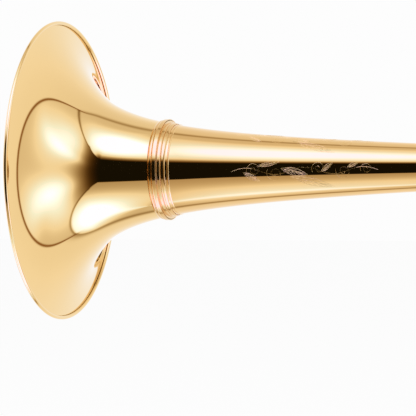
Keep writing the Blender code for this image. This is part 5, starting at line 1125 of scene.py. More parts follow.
def make_valve(number, x, side):
    """Casing with its four knuckles, screw cap and bumpers."""
    place = valve_place(x, side)
    spindle = place @ turn(-side * math.pi / 2.0, "Z")
    bore = ROTOR_RADIUS + GAP
    top = ROTOR_LENGTH / 2.0 + GAP
    hole = SPINDLE_RADIUS + TURN_FIT
    groove = CASING_HALF - CASING_GROOVE_PLACE
    casing = turned(rounded([
        (-CASING_HALF, bore),
        (top, bore),
        (top, hole),
        (CASING_HALF, hole),
        (CASING_HALF, CASING_RADIUS - CASING_EDGE),
        (CASING_HALF - CASING_EDGE, CASING_RADIUS),
        (groove + CASING_GROOVE, CASING_RADIUS),
        (groove, CASING_RADIUS - CASING_GROOVE),
        (groove - CASING_GROOVE, CASING_RADIUS),
        (-CASING_HALF, CASING_RADIUS),
    ]), KNURL_SIDES)
    shells = [moved(casing, spindle)]
    shells += [moved(knuckle(a, b), place) for a in (-1.0, 1.0) for b in (-1.0, 1.0)]
    if number == 1:
        shells.append(ferrule((PORT_REACH + GAP / 2.0, 0.0, VALVE_DROP), -1.0, place))
    else:
        grip = PORT_REACH - SLEEVE_GRIP
        inside = (MAIN_BORE + MAIN_RADIUS) / 2.0
        sleeve = [
            (grip, inside),
            (PORT_REACH, inside),
            (PORT_REACH, SLEEVE_BORE),
            (grip + SLEEVE_LENGTH, SLEEVE_BORE),
            (grip + SLEEVE_LENGTH, SLEEVE_RADIUS),
            (grip, SLEEVE_RADIUS),
        ]
        shells.append(moved(turned(rounded(sleeve)), place, shift(0.0, 0.0, -VALVE_DROP)))
    angles = (STOP_REST_ANGLE - BUMPER_ANGLE, STOP_REST_ANGLE + VALVE_TURN + BUMPER_ANGLE)
    for stop, angle in zip(("rest", "turned"), angles):
        seat = shift(*spoke(angle, BUMPER_CIRCLE, side))
        post = rod(CASING_HALF - BUMPER_POST_ROOT, CASING_HALF + BUMPER_HEIGHT, BUMPER_POST_RADIUS)
        shells.append(moved(post, spindle, seat))
        low = CASING_HALF + GAP
        high = CASING_HALF + BUMPER_HEIGHT
        rubber = [
            (low, BUMPER_POST_RADIUS + GAP),
            (high, BUMPER_POST_RADIUS + GAP),
            (high, BUMPER_RADIUS - BUMPER_ROUND),
            (high - BUMPER_ROUND, BUMPER_RADIUS),
            (low + BUMPER_ROUND, BUMPER_RADIUS),
            (low, BUMPER_RADIUS - BUMPER_ROUND),
        ]
        fine(f"valve_{number}_{stop}_bumper", moved(turned(rounded(rubber, BUMPER_ROUND), SMALL_SIDES), spindle, seat))
    fine(f"valve_{number}_casing", *shells)
    make_cap(number, spindle)
    return place


def make_cap(number, spindle):
    """Screw cap with a knurled rim, a stepped face and a small pip in its middle."""
    end = -CASING_HALF - GAP - CAP_WALL
    dome = end - CAP_DOME
    rim = end + CAP_DEPTH
    band = (end + CAP_CHAMFER + BAND_EDGE, rim - BAND_EDGE)
    cap = turned(rounded([
        (dome, 0.0),
        (dome, CAP_PIP_RADIUS),
        (dome + CAP_FACE_STEP, CAP_PIP_RADIUS + CAP_FACE_STEP),
        (dome + CAP_FACE_STEP, CAP_DOME_RADIUS - CAP_FACE_STEP),
        (dome, CAP_DOME_RADIUS),
        (end, CAP_RADIUS - CAP_CHAMFER),
        (end + CAP_CHAMFER, CAP_RADIUS - BAND_STEP),
        (band[0], CAP_RADIUS),
        (band[1], CAP_RADIUS),
        (rim, CAP_RADIUS - BAND_STEP),
        (rim, CASING_RADIUS + GAP),
        (end + CAP_WALL, CASING_RADIUS + GAP),
        (end + CAP_WALL, 0.0),
    ]), KNURL_SIDES)
    fine(f"valve_{number}_cap", moved(knurl(cap, band[0], band[1], CAP_RADIUS), spindle))


def arm_block(start, end, angle, side, low, high, half):
    """A flat arm between two distances from an axis, seen along the spindle."""
    return moved(block((low, start, -half), (high, end, half)), turn(spindle_turn(angle, side), "X"))


def make_linkage(number, place, x, side):
    """Stop arm, lever, return spring and link rod of one valve."""
    quarter = turn(-side * math.pi / 2.0, "Z")
    spindle = place @ quarter
    low = CASING_HALF + 2.0 * GAP
    high = low + STOP_ARM_THICKNESS
    inner = SPINDLE_RADIUS + STOP_HUB_WALL_LAP
    half = STOP_ARM_WIDTH / 2.0
    finger = arm_block(inner, BUMPER_CIRCLE + STOP_FINGER_PAST, STOP_REST_ANGLE, side, low + INSET, high - INSET, half)
    link = arm_block(inner, STOP_PIN_RADIUS, STOP_LINK_ANGLE, side, low + INSET, high - INSET, half)
    eye = moved(rod(low, high, ROD_EYE_RADIUS, ROUND_SIDES), shift(*spoke(STOP_LINK_ANGLE, STOP_PIN_RADIUS, side)))
    hub = pipe(low, high, SPINDLE_RADIUS + GAP, STOP_HUB_RADIUS)
    fine(f"valve_{number}_stop_arm", *[moved(shell, spindle) for shell in (hub, finger, link, eye)])

    pivot = place @ shift(LEVER_PIVOT_X - x, 0.0, LEVER_PIVOT_RISE)
    high = LEVER_LAYER + LEVER_THICKNESS
    low = high - LEVER_BARREL_LENGTH
    inner = LEVER_BARREL_RADIUS - LEVER_BARREL_LAP
    half = LEVER_ARM_WIDTH / 2.0
    short = math.radians(270.0) - LEVER_TURN / 2.0
    arm = arm_block(inner, LEVER_SHORT_ARM, short, side, LEVER_LAYER + INSET, high - INSET, half)
    eye = moved(rod(LEVER_LAYER, high, ROD_EYE_RADIUS, ROUND_SIDES), shift(*spoke(short, LEVER_SHORT_ARM, side)))
    barrel = pipe(low, high, LEVER_PIN_RADIUS + GAP, LEVER_BARREL_RADIUS)
    rear = -(PADDLE_REACH - PADDLE_LENGTH / 2.0)
    neck = block((rear - PADDLE_LAP, -side * (low + INSET), -LEVER_NECK_BELOW),
                 (-inner, -side * (low + LEVER_THICKNESS), LEVER_NECK_ABOVE))
    riser = block((rear - RISER_LENGTH, -side * (low + 2.0 * INSET), -PADDLE_LAP),
                  (rear, -side * (low + LEVER_THICKNESS - INSET), PADDLE_RISE - INSET))
    near = low + PADDLE_NEAR_STEP
    shells = [moved(shell, quarter) for shell in (barrel, arm, eye)] + [neck, riser, paddle(rear, near, side)]
    fine(f"valve_{number}_lever", *[moved(shell, pivot) for shell in shells])
    spring = coil(low + LEVER_SPRING_START, LEVER_LAYER - SPRING_END_ROOM, LEVER_BARREL_RADIUS + SPRING_CLEARANCE)
    fine(f"valve_{number}_lever_spring", moved(spring, pivot, quarter))

    base = LEVER_LAYER + LEVER_THICKNESS + GAP
    top = base + ROD_EYE_THICKNESS
    head = top + SCREW_HEAD_HEIGHT
    length = x - LEVER_PIVOT_X
    shells = []
    for reach in (0.0, length):
        at = shift(0.0, side * reach)
        outline = rounded([(base, ROD_BORE), (top, ROD_BORE), (top, ROD_EYE_RADIUS), (base, ROD_EYE_RADIUS)])
        shells.append(moved(turned(outline, SMALL_SIDES), at))
        outline = rounded([
            (base, 0.0),
            (base, ROD_BORE + INSET),
            (top, ROD_BORE + INSET),
            (top, SCREW_HEAD_RADIUS),
            (head, SCREW_HEAD_RADIUS - SCREW_HEAD_TAPER),
            (head, SCREW_SLOT),
            (head - SCREW_SLOT, SCREW_SLOT / 2.0),
            (head - SCREW_SLOT, 0.0),
        ], SCREW_HEAD_TAPER)
        shells.append(moved(turned(outline, SMALL_SIDES), at))
    reach = ROD_EYE_RADIUS - ROD_LAP
    shaft = [(reach, 0.0)]
    for step in range(BAR_STEPS + 1):
        at = reach + (length - 2.0 * reach) * step / BAR_STEPS
        shaft.append((at, bar_radius(ROD_RADIUS * ROD_THIN, at, reach, length - reach, BRACE_FOOT)))
    shaft.append((length - reach, 0.0))
    shells.append(moved(turned(shaft, SMALL_SIDES), shift((base + top) / 2.0), turn(side * math.pi / 2.0, "Z")))
    link_place = pivot @ shift(-STOP_PIN_OFFSET, 0.0, -LEVER_PIVOT_RISE - STOP_PIN_OFFSET) @ quarter
    fine(f"valve_{number}_link_rod", *[moved(shell, link_place) for shell in shells])


def paddle(rear, near, side):
    """Touch piece: a plate with round corners and soft edges."""
    plate = block((rear - PADDLE_LENGTH, -side * near, PADDLE_RISE - PADDLE_THICKNESS),
                  (rear - PADDLE_LAP, -side * (near + PADDLE_WIDTH), PADDLE_RISE), 0.0)
    upright = [e for e in plate.edges if abs((e.verts[1].co - e.verts[0].co).z) > PADDLE_THICKNESS / 2.0]
    bmesh.ops.bevel(plate, geom=upright, offset=PADDLE_CORNER, segments=8, profile=0.5, affect="EDGES")
    flat = [e for e in plate.edges if abs((e.verts[1].co - e.verts[0].co).z) < PADDLE_THICKNESS / 2.0]
    bmesh.ops.bevel(plate, geom=flat, offset=PADDLE_THICKNESS * 0.35, segments=4, profile=0.5, affect="EDGES")
    return plate


def make_saddle(valves):
    """Collar round the neckpipe, with the posts, bridges and hinge pins that carry both levers."""
    drop = VALVE_DROP - LEVER_PIVOT_RISE
    reach = SADDLE_LENGTH / 2.0
    bore = MAIN_RADIUS + GAP
    high = LEVER_LAYER + LEVER_THICKNESS
    low = high - LEVER_BARREL_LENGTH
    half = LEVER_BARREL_RADIUS
    top = LEVER_BARREL_RADIUS + SADDLE_CLEARANCE
    outer = high + 2.0 * GAP + ROD_EYE_THICKNESS
    shells = []
    for number, place, x, side in valves:
        pivot = place @ shift(LEVER_PIVOT_X - x, 0.0, LEVER_PIVOT_RISE)
        if not shells:
            shells.append(moved(pipe(-reach, reach, bore, bore + SADDLE_WALL / 2.0), pivot, shift(0.0, 0.0, drop)))
        for first, second, bottom in (
            (low - GAP, bore + SADDLE_SINK, -half),
            (outer, outer + SADDLE_WALL, -half),
            (low - SADDLE_WALL, outer + SADDLE_WALL, top),
        ):
            shape = block((-half, -side * first, bottom), (half, -side * second, top + SADDLE_WALL))
            shells.append(moved(shape, pivot))
        pin = rod(low - PIN_LAP, outer + PIN_LAP, LEVER_PIN_RADIUS)
        shells.append(moved(pin, pivot, turn(-side * math.pi / 2.0, "Z")))
    fine("lever_saddle", *shells)


def hand_brace(node, x, collar, radius, extra=()):
    """A bar to hold between two collars, one round each side of the slide; collar is bore, wall, length."""
    bore, wall, length = collar
    place = shift(x) @ turn(-math.pi / 2.0, "X")
    fine(node, *brace_shells(place, ((bore, bore), (bore, bore)), SLIDE_SPACING, length, wall, radius, GRIP_FOOT),
         *extra)


def make_inner_slide():
    """Inner tubes with stockings, the bell side's tenon, lock nut, cork barrels and left-hand grip."""
    mouth = shift(0.0, -SLIDE_SPACING)
    neck = RECEIVER_MOUTH_RADIUS - 2.0 * GAP - TENON_NECK_RELIEF
    shoulder = INNER_TUBE_FRONT + STOCKING_LENGTH
    stocking = [
        (shoulder + STOCKING_STEP, INNER_TUBE_RADIUS),
        (shoulder, STOCKING_RADIUS),
        (INNER_TUBE_FRONT, STOCKING_RADIUS),
    ]
    tenon = [
        (INNER_TUBE_FRONT, SLIDE_BORE),
        (TENON_LENGTH, SLIDE_BORE),
        (TENON_LENGTH, RECEIVER_END_RADIUS - GAP),
        (0.0, RECEIVER_MOUTH_RADIUS - GAP),
        (-GAP, RECEIVER_MOUTH_RADIUS - GAP),
        (-GAP, TENON_COLLAR_RADIUS),
        (-TENON_COLLAR_LENGTH, TENON_COLLAR_RADIUS),
        (-TENON_COLLAR_LENGTH, neck),
        (-TENON_NECK, neck),
        (-TENON_NECK, INNER_TUBE_RADIUS),
    ]
    plain = [
        (INNER_TUBE_FRONT, SLIDE_BORE),
        (MOUTH_TUBE_REAR, SLIDE_BORE),
        (MOUTH_TUBE_REAR, INNER_TUBE_RADIUS),
    ]
    fine("inner_tube_bell_side", turned(rounded(tenon + stocking, INSET)))
    fine("inner_tube_mouthpiece_side", moved(turned(rounded(plain + stocking, INSET)), mouth))

    inside = RECEIVER_THREAD_RADIUS + TURN_FIT
    seat = -TENON_COLLAR_LENGTH - GAP
    band = (LOCK_NUT_FRONT + LOCK_NUT_CONE + BAND_EDGE, LOCK_NUT_REAR - LOCK_NUT_CHAMFER - BAND_EDGE)
    nut = turned(rounded([
        (LOCK_NUT_FRONT, neck + TURN_FIT),
        (seat, neck + TURN_FIT),
        (seat, inside),
        (LOCK_NUT_REAR, inside),
        (LOCK_NUT_REAR, LOCK_NUT_RADIUS - LOCK_NUT_CHAMFER),
        (LOCK_NUT_REAR - LOCK_NUT_CHAMFER, LOCK_NUT_RADIUS - BAND_STEP),
        (band[1], LOCK_NUT_RADIUS),
        (band[0], LOCK_NUT_RADIUS),
        (LOCK_NUT_FRONT + LOCK_NUT_CONE, LOCK_NUT_RADIUS - BAND_STEP),
        (LOCK_NUT_FRONT, LOCK_NUT_RADIUS - LOCK_NUT_CONE),
    ]), KNURL_SIDES)
    fine("slide_lock_nut", knurl(nut, band[0], band[1], LOCK_NUT_RADIUS))

    for side, place in (("bell_side", shift(0.0)), ("mouthpiece_side", mouth)):
        end = BARREL_REAR - BARREL_END_WALL
        bore = INNER_TUBE_RADIUS + GAP
        barrel = rounded([
            (BARREL_FRONT, BARREL_BORE),
            (end, BARREL_BORE),
            (end, bore),
            (BARREL_REAR, bore),
            *hump(BARREL_REAR, BARREL_REAR - 2.0 * BARREL_BEAD_REACH, BARREL_RADIUS, BARREL_BEAD),
            *hump(BARREL_FRONT + 2.0 * BARREL_BEAD_REACH, BARREL_FRONT, BARREL_RADIUS, BARREL_BEAD),
        ])
        fine(f"cork_barrel_{side}", moved(turned(barrel), place))
        cork = pipe(end - GAP - CORK_LENGTH, end - GAP, bore, BARREL_BORE - GAP)
        fine(f"barrel_cork_{side}", moved(cork, place))
    collar = (BARREL_RADIUS + GAP, GRIP_COLLAR_WALL, GRIP_COLLAR_LENGTH)
    hand_brace("slide_grip_brace", GRIP_X, collar, GRIP_RADIUS)


def make_lock_ring():
    """Knurled ring on the bell-side barrel whose hook catches the outer brace's lug."""
    bore = BARREL_RADIUS + TURN_FIT
    radius = bore + LOCK_RING_WALL
    band = (LOCK_RING_FRONT + LOCK_RING_CHAMFER + BAND_EDGE, LOCK_RING_REAR - LOCK_RING_CHAMFER - BAND_EDGE)
    ring = turned(rounded([
        (LOCK_RING_FRONT, bore),
        (LOCK_RING_REAR, bore),
        (LOCK_RING_REAR, radius - LOCK_RING_EDGE),
        (LOCK_RING_REAR - LOCK_RING_CHAMFER, radius - BAND_STEP),
        (band[1], radius),
        (band[0], radius),
        (LOCK_RING_FRONT + LOCK_RING_CHAMFER, radius - BAND_STEP),
        (LOCK_RING_FRONT, radius - LOCK_RING_EDGE),
    ]), KNURL_SIDES)
    low = radius - LOCK_ARM_SINK
    high = radius + LOCK_ARM_RISE
    arm = block((LOCK_HOOK_FRONT, -LOCK_ARM_HALF_WIDTH, low),
                (LOCK_RING_FRONT + LOCK_ARM_LAP, LOCK_ARM_HALF_WIDTH, high))
    hook = block((LOCK_HOOK_FRONT, -LOCK_ARM_HALF_WIDTH, low),
                 (LOCK_HOOK_FRONT + LOCK_HOOK_THICKNESS, LOCK_HOOK_REACH, high))
    fine("slide_lock_ring", knurl(ring, band[0], band[1], radius), arm, hook)


def make_outer_slide():
    """Outer tubes, right-hand brace with its lug, crook, rubber bumper and water key."""
    for side, y in (("bell_side", 0.0), ("mouthpiece_side", -SLIDE_SPACING)):
        tube = pipe(OUTER_TUBE_FRONT, OUTER_TUBE_REAR, STOCKING_RADIUS + SLIP_FIT, OUTER_TUBE_RADIUS)
        fine(f"outer_tube_{side}", moved(tube, shift(0.0, y)))
    collar = (OUTER_TUBE_RADIUS + GAP, OUTER_COLLAR_WALL, OUTER_COLLAR_LENGTH)
    foot = OUTER_TUBE_RADIUS + GAP + LOCK_STUD_ROOT
    tip = BARREL_RADIUS + TURN_FIT + LOCK_RING_WALL + LOCK_STUD_PAST
    x = LOCK_HOOK_FRONT + LOCK_HOOK_THICKNESS + GAP + LOCK_STUD_RADIUS
    lug = moved(rod(foot, tip, LOCK_STUD_RADIUS), shift(x), turn(-LOCK_HOOK_TURN - LOCK_STUD_AHEAD, "X"),
                turn(-math.pi / 2.0, "Y"))
    hand_brace("outer_slide_brace", OUTER_BRACE_X, collar, OUTER_BRACE_RADIUS, (lug,))

    sleeve_bore = OUTER_TUBE_RADIUS + GAP
    sleeve_radius = sleeve_bore + TUBE_WALL
    overlap = CROOK_SLEEVE_REAR - OUTER_TUBE_FRONT + GAP
    rest = OUTER_TUBE_FRONT - GAP - CROOK_SLEEVE_FRONT
    run = CROOK_SLEEVE_FRONT - CROOK_BOW_X
    route = Route((CROOK_SLEEVE_REAR, 0.0, 0.0), -X_AXIS, Z_AXIS, sleeve_bore, sleeve_radius)
    route.straight(overlap - SHOULDER).step(CROOK_BORE, sleeve_radius).straight(rest - SHOULDER)
    route.step(CROOK_BORE, OUTER_TUBE_RADIUS).straight(run).bend(math.pi, CROOK_BOW_RADIUS, Z_AXIS)
    route.straight(run - SHOULDER).step(CROOK_BORE, sleeve_radius).straight(rest - SHOULDER)
    route.step(sleeve_bore, sleeve_radius).straight(overlap)
    shells = [bent_pipe(route)]
    for y in (0.0, -SLIDE_SPACING):
        for low in (CROOK_SLEEVE_REAR - CROOK_RING, CROOK_SLEEVE_FRONT):
            band = pipe(low, low + CROOK_RING, sleeve_bore + INSET, sleeve_radius + SLEEVE_RING_WALL)
            shells.append(moved(band, shift(0.0, y)))
    tip = CROOK_BOW_X - CROOK_BOW_RADIUS - CROOK_BORE - CROOK_BOSS_LAP
    middle = shift(0.0, -CROOK_BOW_RADIUS)
    shells.append(moved(rod(tip - CROOK_BOSS_LENGTH, tip, CROOK_BOSS_RADIUS, ROUND_SIDES), middle))
    nipple = pipe(CROOK_BORE + INSET, WATER_NIPPLE_HEIGHT, WATER_HOLE_RADIUS, WATER_NIPPLE_RADIUS)
    shells.append(moved(nipple, shift(WATER_KEY_HOLE_X), turn(math.pi / 2.0, "Z")))
    half = WATER_KEY_WIDTH / 2.0 + GAP
    post_foot = math.sqrt((sleeve_bore + WATER_POST_ROOT) ** 2 - half ** 2)
    reach = WATER_BARREL_RADIUS
    for sign in (-1.0, 1.0):
        shells.append(block((WATER_KEY_PIVOT_X - reach, post_foot, sign * half),
                            (WATER_KEY_PIVOT_X + reach, WATER_KEY_PIVOT_HEIGHT + reach,
                             sign * (half + WATER_POST_THICKNESS))))
    pin = rod(-half - WATER_PIN_LAP, half + WATER_PIN_LAP, LEVER_PIN_RADIUS)
    pivot = shift(WATER_KEY_PIVOT_X, WATER_KEY_PIVOT_HEIGHT)
    shells.append(moved(pin, pivot, turn(-math.pi / 2.0, "Y")))
    fine("slide_crook", *shells)

    end = tip - CROOK_BOSS_LENGTH
    face = end - BUMPER_TIP_FACE
    rear = face + BUMPER_TIP_LENGTH
    side = [(rear - BUMPER_TIP_ROUND * step, BUMPER_TIP_RADIUS - (step % 2) * BUMPER_GROOVE)
            for step in range(BUMPER_GROOVES * 2 + 1)]
    bumper = rounded([
        (face, 0.0),
        (face, BUMPER_TIP_FACE_RADIUS),
        (face + BUMPER_TIP_ROUND, BUMPER_TIP_RADIUS),
        *side[::-1],
        (rear, CROOK_BOSS_RADIUS + GAP),
        (end - GAP, CROOK_BOSS_RADIUS + GAP),
        (end - GAP, 0.0),
    ], BUMPER_TIP_ROUND / 3.0)
    fine("slide_bumper", moved(turned(bumper), middle))
    make_water_key(pivot)


def make_water_key(pivot):
    """Spit valve: a lever on its pin, with a cork in a cup at one end, and its spring."""
    half = WATER_KEY_WIDTH / 2.0
    upright = turn(-math.pi / 2.0, "Y")
    pad_top = WATER_NIPPLE_HEIGHT + GAP + WATER_PAD_THICKNESS - WATER_KEY_PIVOT_HEIGHT
    seat = WATER_KEY_HOLE_X - WATER_KEY_PIVOT_X
    low = pad_top + GAP
    high = low + WATER_KEY_THICKNESS
    top = half - INSET
    foot = top - WATER_ARM_WIDTH
    inner = WATER_BARREL_RADIUS - WATER_BARREL_LAP
    over_seat = shift(seat) @ turn(math.pi / 2.0, "Z")
    barrel = moved(pipe(-half, half, LEVER_PIN_RADIUS + GAP, WATER_BARREL_RADIUS), upright)
    front = block((seat, low, foot), (-inner, high - INSET, top))
    cup = moved(rod(low, high, WATER_PAD_RADIUS + WATER_CUP_WALL, ROUND_SIDES), over_seat)
    back = block((inner, WATER_BACK_ARM_LOW, foot), (WATER_KEY_REACH, WATER_BACK_ARM_LOW + WATER_KEY_THICKNESS, top))
    fine("water_key_lever", *[moved(shell, pivot) for shell in (barrel, front, cup, back)])
    fine("water_key_cork", moved(rod(pad_top - WATER_PAD_THICKNESS, pad_top, WATER_PAD_RADIUS, ROUND_SIDES),
                                 pivot, over_seat))
    spring = coil(-half + SPRING_END_ROOM, foot - SPRING_END_ROOM, WATER_BARREL_RADIUS + SPRING_CLEARANCE)
    fine("water_key_spring", moved(spring, pivot, upright))


def make_mouthpiece_side():
    """Mouthpiece receiver, leadpipe and mouthpiece."""
    mouth = shift(0.0, -SLIDE_SPACING)
    front = BARREL_REAR + GAP
    ring_end = MOUTH_RECEIVER_REAR - MOUTH_RING_LENGTH
    receiver = rounded([
        (front, MOUTH_RECEIVER_BORE),
        (MOUTH_RECEIVER_REAR, MOUTH_RECEIVER_BORE),
        (MOUTH_RECEIVER_REAR, MOUTH_RING_RADIUS - MOUTH_RING_EDGE),
        (MOUTH_RECEIVER_REAR - MOUTH_RING_SLOPE, MOUTH_RING_RADIUS),
        (ring_end, MOUTH_RING_RADIUS),
        (ring_end - MOUTH_RING_SLOPE, MOUTH_RECEIVER_RADIUS),
        (front + MOUTH_RING_LENGTH + MOUTH_RING_SLOPE, MOUTH_RECEIVER_RADIUS),
        (front + MOUTH_RING_LENGTH, MOUTH_RING_RADIUS),
        (front, MOUTH_RING_RADIUS),
    ])
    fine("mouthpiece_receiver", moved(turned(receiver), mouth))

    end = MOUTH_RECEIVER_REAR + LEADPIPE_PROUD
    swell_start = MOUTH_TUBE_REAR + LEADPIPE_STEP
    leadpipe = rounded([
        (LEADPIPE_FRONT, LEADPIPE_RADIUS - LEADPIPE_EDGE),
        (SHANK_TIP_X - LEADPIPE_THROAT_REACH, LEADPIPE_BORE - LEADPIPE_THROAT_STEP),
        (SHANK_TIP_X - LEADPIPE_STEP, SHANK_TIP_RADIUS + GAP),
        (end, SHANK_TIP_RADIUS + SHANK_TAPER * (end - SHANK_TIP_X) + SLIP_FIT),
        (end, LEADPIPE_MOUTH_RADIUS),
        (swell_start + LEADPIPE_SWELL_LENGTH, LEADPIPE_MOUTH_RADIUS - LEADPIPE_MOUTH_TAPER),
        (swell_start, LEADPIPE_RADIUS),
        (LEADPIPE_FRONT, LEADPIPE_RADIUS),
    ], INSET)
    fine("leadpipe", moved(turned(leadpipe), mouth))

    rim_x = SHANK_TIP_X + MOUTHPIECE_LENGTH
    throat_end = rim_x - CUP_DEPTH - THROAT_BLEND
    bare = end + SHANK_BARE_START
    shank_radius = SHANK_TIP_RADIUS + SHANK_TAPER * (bare - SHANK_TIP_X)
    reach = CUP_DEPTH - RIM_INNER_ROUND + THROAT_BLEND
    outline = [
        (SHANK_TIP_X, SHANK_TIP_RADIUS - SHANK_WALL),
        (throat_end - THROAT_LENGTH, THROAT_RADIUS),
    ]
    for step in range(CUP_STEPS + 1):
        angle = math.pi / 2.0 * step / CUP_STEPS
        outline.append((throat_end + reach * (1.0 - math.cos(angle)),
                        THROAT_RADIUS + (CUP_BORE - THROAT_RADIUS) * math.sin(angle)))
    crest = (CUP_BORE + CUP_RADIUS) / 2.0
    half_rim = (CUP_RADIUS - CUP_BORE) / 2.0
    for step in range(1, CUP_STEPS + 1):
        angle = math.pi * (1.0 - step / CUP_STEPS)
        outline.append((rim_x - RIM_OUTER_ROUND * (1.0 - math.sin(angle)), crest + half_rim * math.cos(angle)))
    body_reach = CUP_WAIST - RIM_OUTER_ROUND
    body_radius = CUP_RADIUS - CUP_STEP
    for step in range(CUP_STEPS + 1):
        share = step / CUP_STEPS
        outline.append((rim_x - RIM_OUTER_ROUND - body_reach * share,
                        body_radius - (body_radius - CUP_WAIST_RADIUS) * share ** CUP_BULGE))
    waist = rim_x - CUP_WAIST
    shoulder = SHANK_TIP_X + SHANK_LENGTH
    for step in range(1, CUP_STEPS):
        share = step / CUP_STEPS
        ease = share * share * (3.0 - 2.0 * share)
        outline.append((waist + (shoulder - waist) * share,
                        CUP_WAIST_RADIUS + (shank_radius + SHANK_SHOULDER - CUP_WAIST_RADIUS) * ease))
    outline += [
        (shoulder, shank_radius + SHANK_SHOULDER),
        (bare, shank_radius),
        (SHANK_TIP_X, SHANK_TIP_RADIUS),
    ]
    fine("mouthpiece", moved(turned(outline, BELL_SIDES // 2), mouth))


def on_stem(place, around, height, lean):
    """A point over the stem: place behind the rim, around it from the side that faces -Y, both in metres."""
    radius = stem_radius(place)
    angle = lean + around / radius
    radius += height
    return Vector((BELL_RIM_X + place, -radius * math.cos(angle), radius * math.sin(angle) - BELL_DROP))


def stroke(line, width, lean):
    """One engraved line: a thin ribbon with a crest, narrower towards both ends."""
    mesh = bmesh.new()
    rings = []
    last = len(line) - 1
    for index, (place, around) in enumerate(line):
        before = line[max(index - 1, 0)]
        after = line[min(index + 1, last)]
        along = Vector((after[0] - before[0], after[1] - before[1])).normalized()
        half = width / 2.0 * (STROKE_TIP + (1.0 - STROKE_TIP) * math.sin(math.pi * index / last))
        x, y = -along.y * half, along.x * half
        rings.append([mesh.verts.new(point) for point in (
            on_stem(place + x, around + y, -STROKE_SINK, lean),
            on_stem(place, around, STROKE_RISE, lean),
            on_stem(place - x, around - y, -STROKE_SINK, lean),
            on_stem(place, around, -2.0 * STROKE_SINK, lean),
        )])
    skin(mesh, rings)
    mesh.faces.new(rings[0][::-1])
    mesh.faces.new(rings[-1])
    return closed(mesh)


def curl(place, around, radius, start, hand):
    """Points of a line that winds inwards; hand is 1 or -1."""
    points = []
    for step in range(CURL_POINTS + 1):
        share = step / CURL_POINTS
        angle = start + hand * CURL_SWEEP * share
        reach = radius * (1.0 - CURL_FALL * share)
        points.append((place + reach * math.cos(angle), around + reach * math.sin(angle)))
    return points


def leaf(root, tip, bulge):
    """Lines of one leaf: two curved edges, its midrib and the ribs that slant from it."""
    root = Vector(root)
    along = Vector(tip) - root
    side = Vector((-along.y, along.x)).normalized() * bulge
    lines = []
    for edge in (1.0, -1.0, 0.0):
        shares = [step / LEAF_POINTS for step in range(LEAF_POINTS + 1)]
        lines.append([root + along * share + side * edge * math.sin(math.pi * share) for share in shares])
    for rib in range(1, LEAF_RIBS):
        foot = rib / LEAF_RIBS * (1.0 - RIB_LEAD)
        end = foot + RIB_LEAD
        for hand in (1.0, -1.0):
            edge = root + along * end + side * hand * math.sin(math.pi * end) * RIB_REACH
            lines.append([(root + along * foot).lerp(edge, step / RIB_POINTS) for step in range(RIB_POINTS + 1)])
    return lines


def make_engraving():
    """A plain leaf scroll along the stem's side and again along its top."""
    length = SCROLL_END - SCROLL_START
    vine = []
    for step in range(VINE_POINTS + 1):
        share = step / VINE_POINTS
        vine.append((SCROLL_START + length * share, SCROLL_WAVE * math.sin(2.0 * math.pi * SCROLL_WAVES * share)))
    lines = [(vine, VINE_WIDTH)]
    lines += [(curl(*shape), VINE_WIDTH) for shape in SCROLL_CURLS]
    for root, tip, bulge in SCROLL_LEAVES:
        lines += [(line, RIB_WIDTH) for line in leaf(root, tip, bulge)]
    shells = [stroke(line, width, lean) for lean in SCROLL_LEANS for line, width in lines]
    piece("bell_scroll", shells, "bell_section", "yellow_brass", FINISHES["engraved"])


def metal(name, colour, roughness, wear=0.06, scratch=0.02):
    """Polished metal with faint colour drift, polishing lines and smudges."""
    material = bpy.data.materials.new(name)
    material.use_nodes = True
    nodes = material.node_tree.nodes
    links = material.node_tree.links
    shader = nodes["Principled BSDF"]
    shader.inputs["Metallic"].default_value = 1.0
    place = nodes.new("ShaderNodeTexCoord")
    drift = nodes.new("ShaderNodeTexNoise")
    drift.inputs["Scale"].default_value = 18.0
    drift.inputs["Detail"].default_value = 4.0
    links.new(place.outputs["Object"], drift.inputs["Vector"])
    tone = nodes.new("ShaderNodeValToRGB")
    tone.color_ramp.elements[0].position = 0.35
    tone.color_ramp.elements[1].position = 0.70
    tone.color_ramp.elements[0].color = (*[c * (1.0 - wear) for c in colour], 1.0)
    tone.color_ramp.elements[1].color = (*colour, 1.0)
    links.new(drift.outputs["Fac"], tone.inputs["Fac"])
    links.new(tone.outputs["Color"], shader.inputs["Base Color"])
    smudge = nodes.new("ShaderNodeTexNoise")
    smudge.inputs["Scale"].default_value = 42.0
    smudge.inputs["Detail"].default_value = 6.0
    links.new(place.outputs["Object"], smudge.inputs["Vector"])
    rough = nodes.new("ShaderNodeMapRange")
    rough.inputs["To Min"].default_value = roughness * 0.7
    rough.inputs["To Max"].default_value = roughness * 1.5
    links.new(smudge.outputs["Fac"], rough.inputs["Value"])
    links.new(rough.outputs["Result"], shader.inputs["Roughness"])
    lines = nodes.new("ShaderNodeTexNoise")
    lines.inputs["Scale"].default_value = 900.0
    stretch = nodes.new("ShaderNodeMapping")
    stretch.inputs["Scale"].default_value = (3.0, 0.25, 0.25)
    links.new(place.outputs["Object"], stretch.inputs["Vector"])
    links.new(stretch.outputs["Vector"], lines.inputs["Vector"])
    bump = nodes.new("ShaderNodeBump")
    bump.inputs["Strength"].default_value = scratch
    bump.inputs["Distance"].default_value = 0.0002
    links.new(lines.outputs["Fac"], bump.inputs["Height"])
    links.new(bump.outputs["Normal"], shader.inputs["Normal"])
    return material


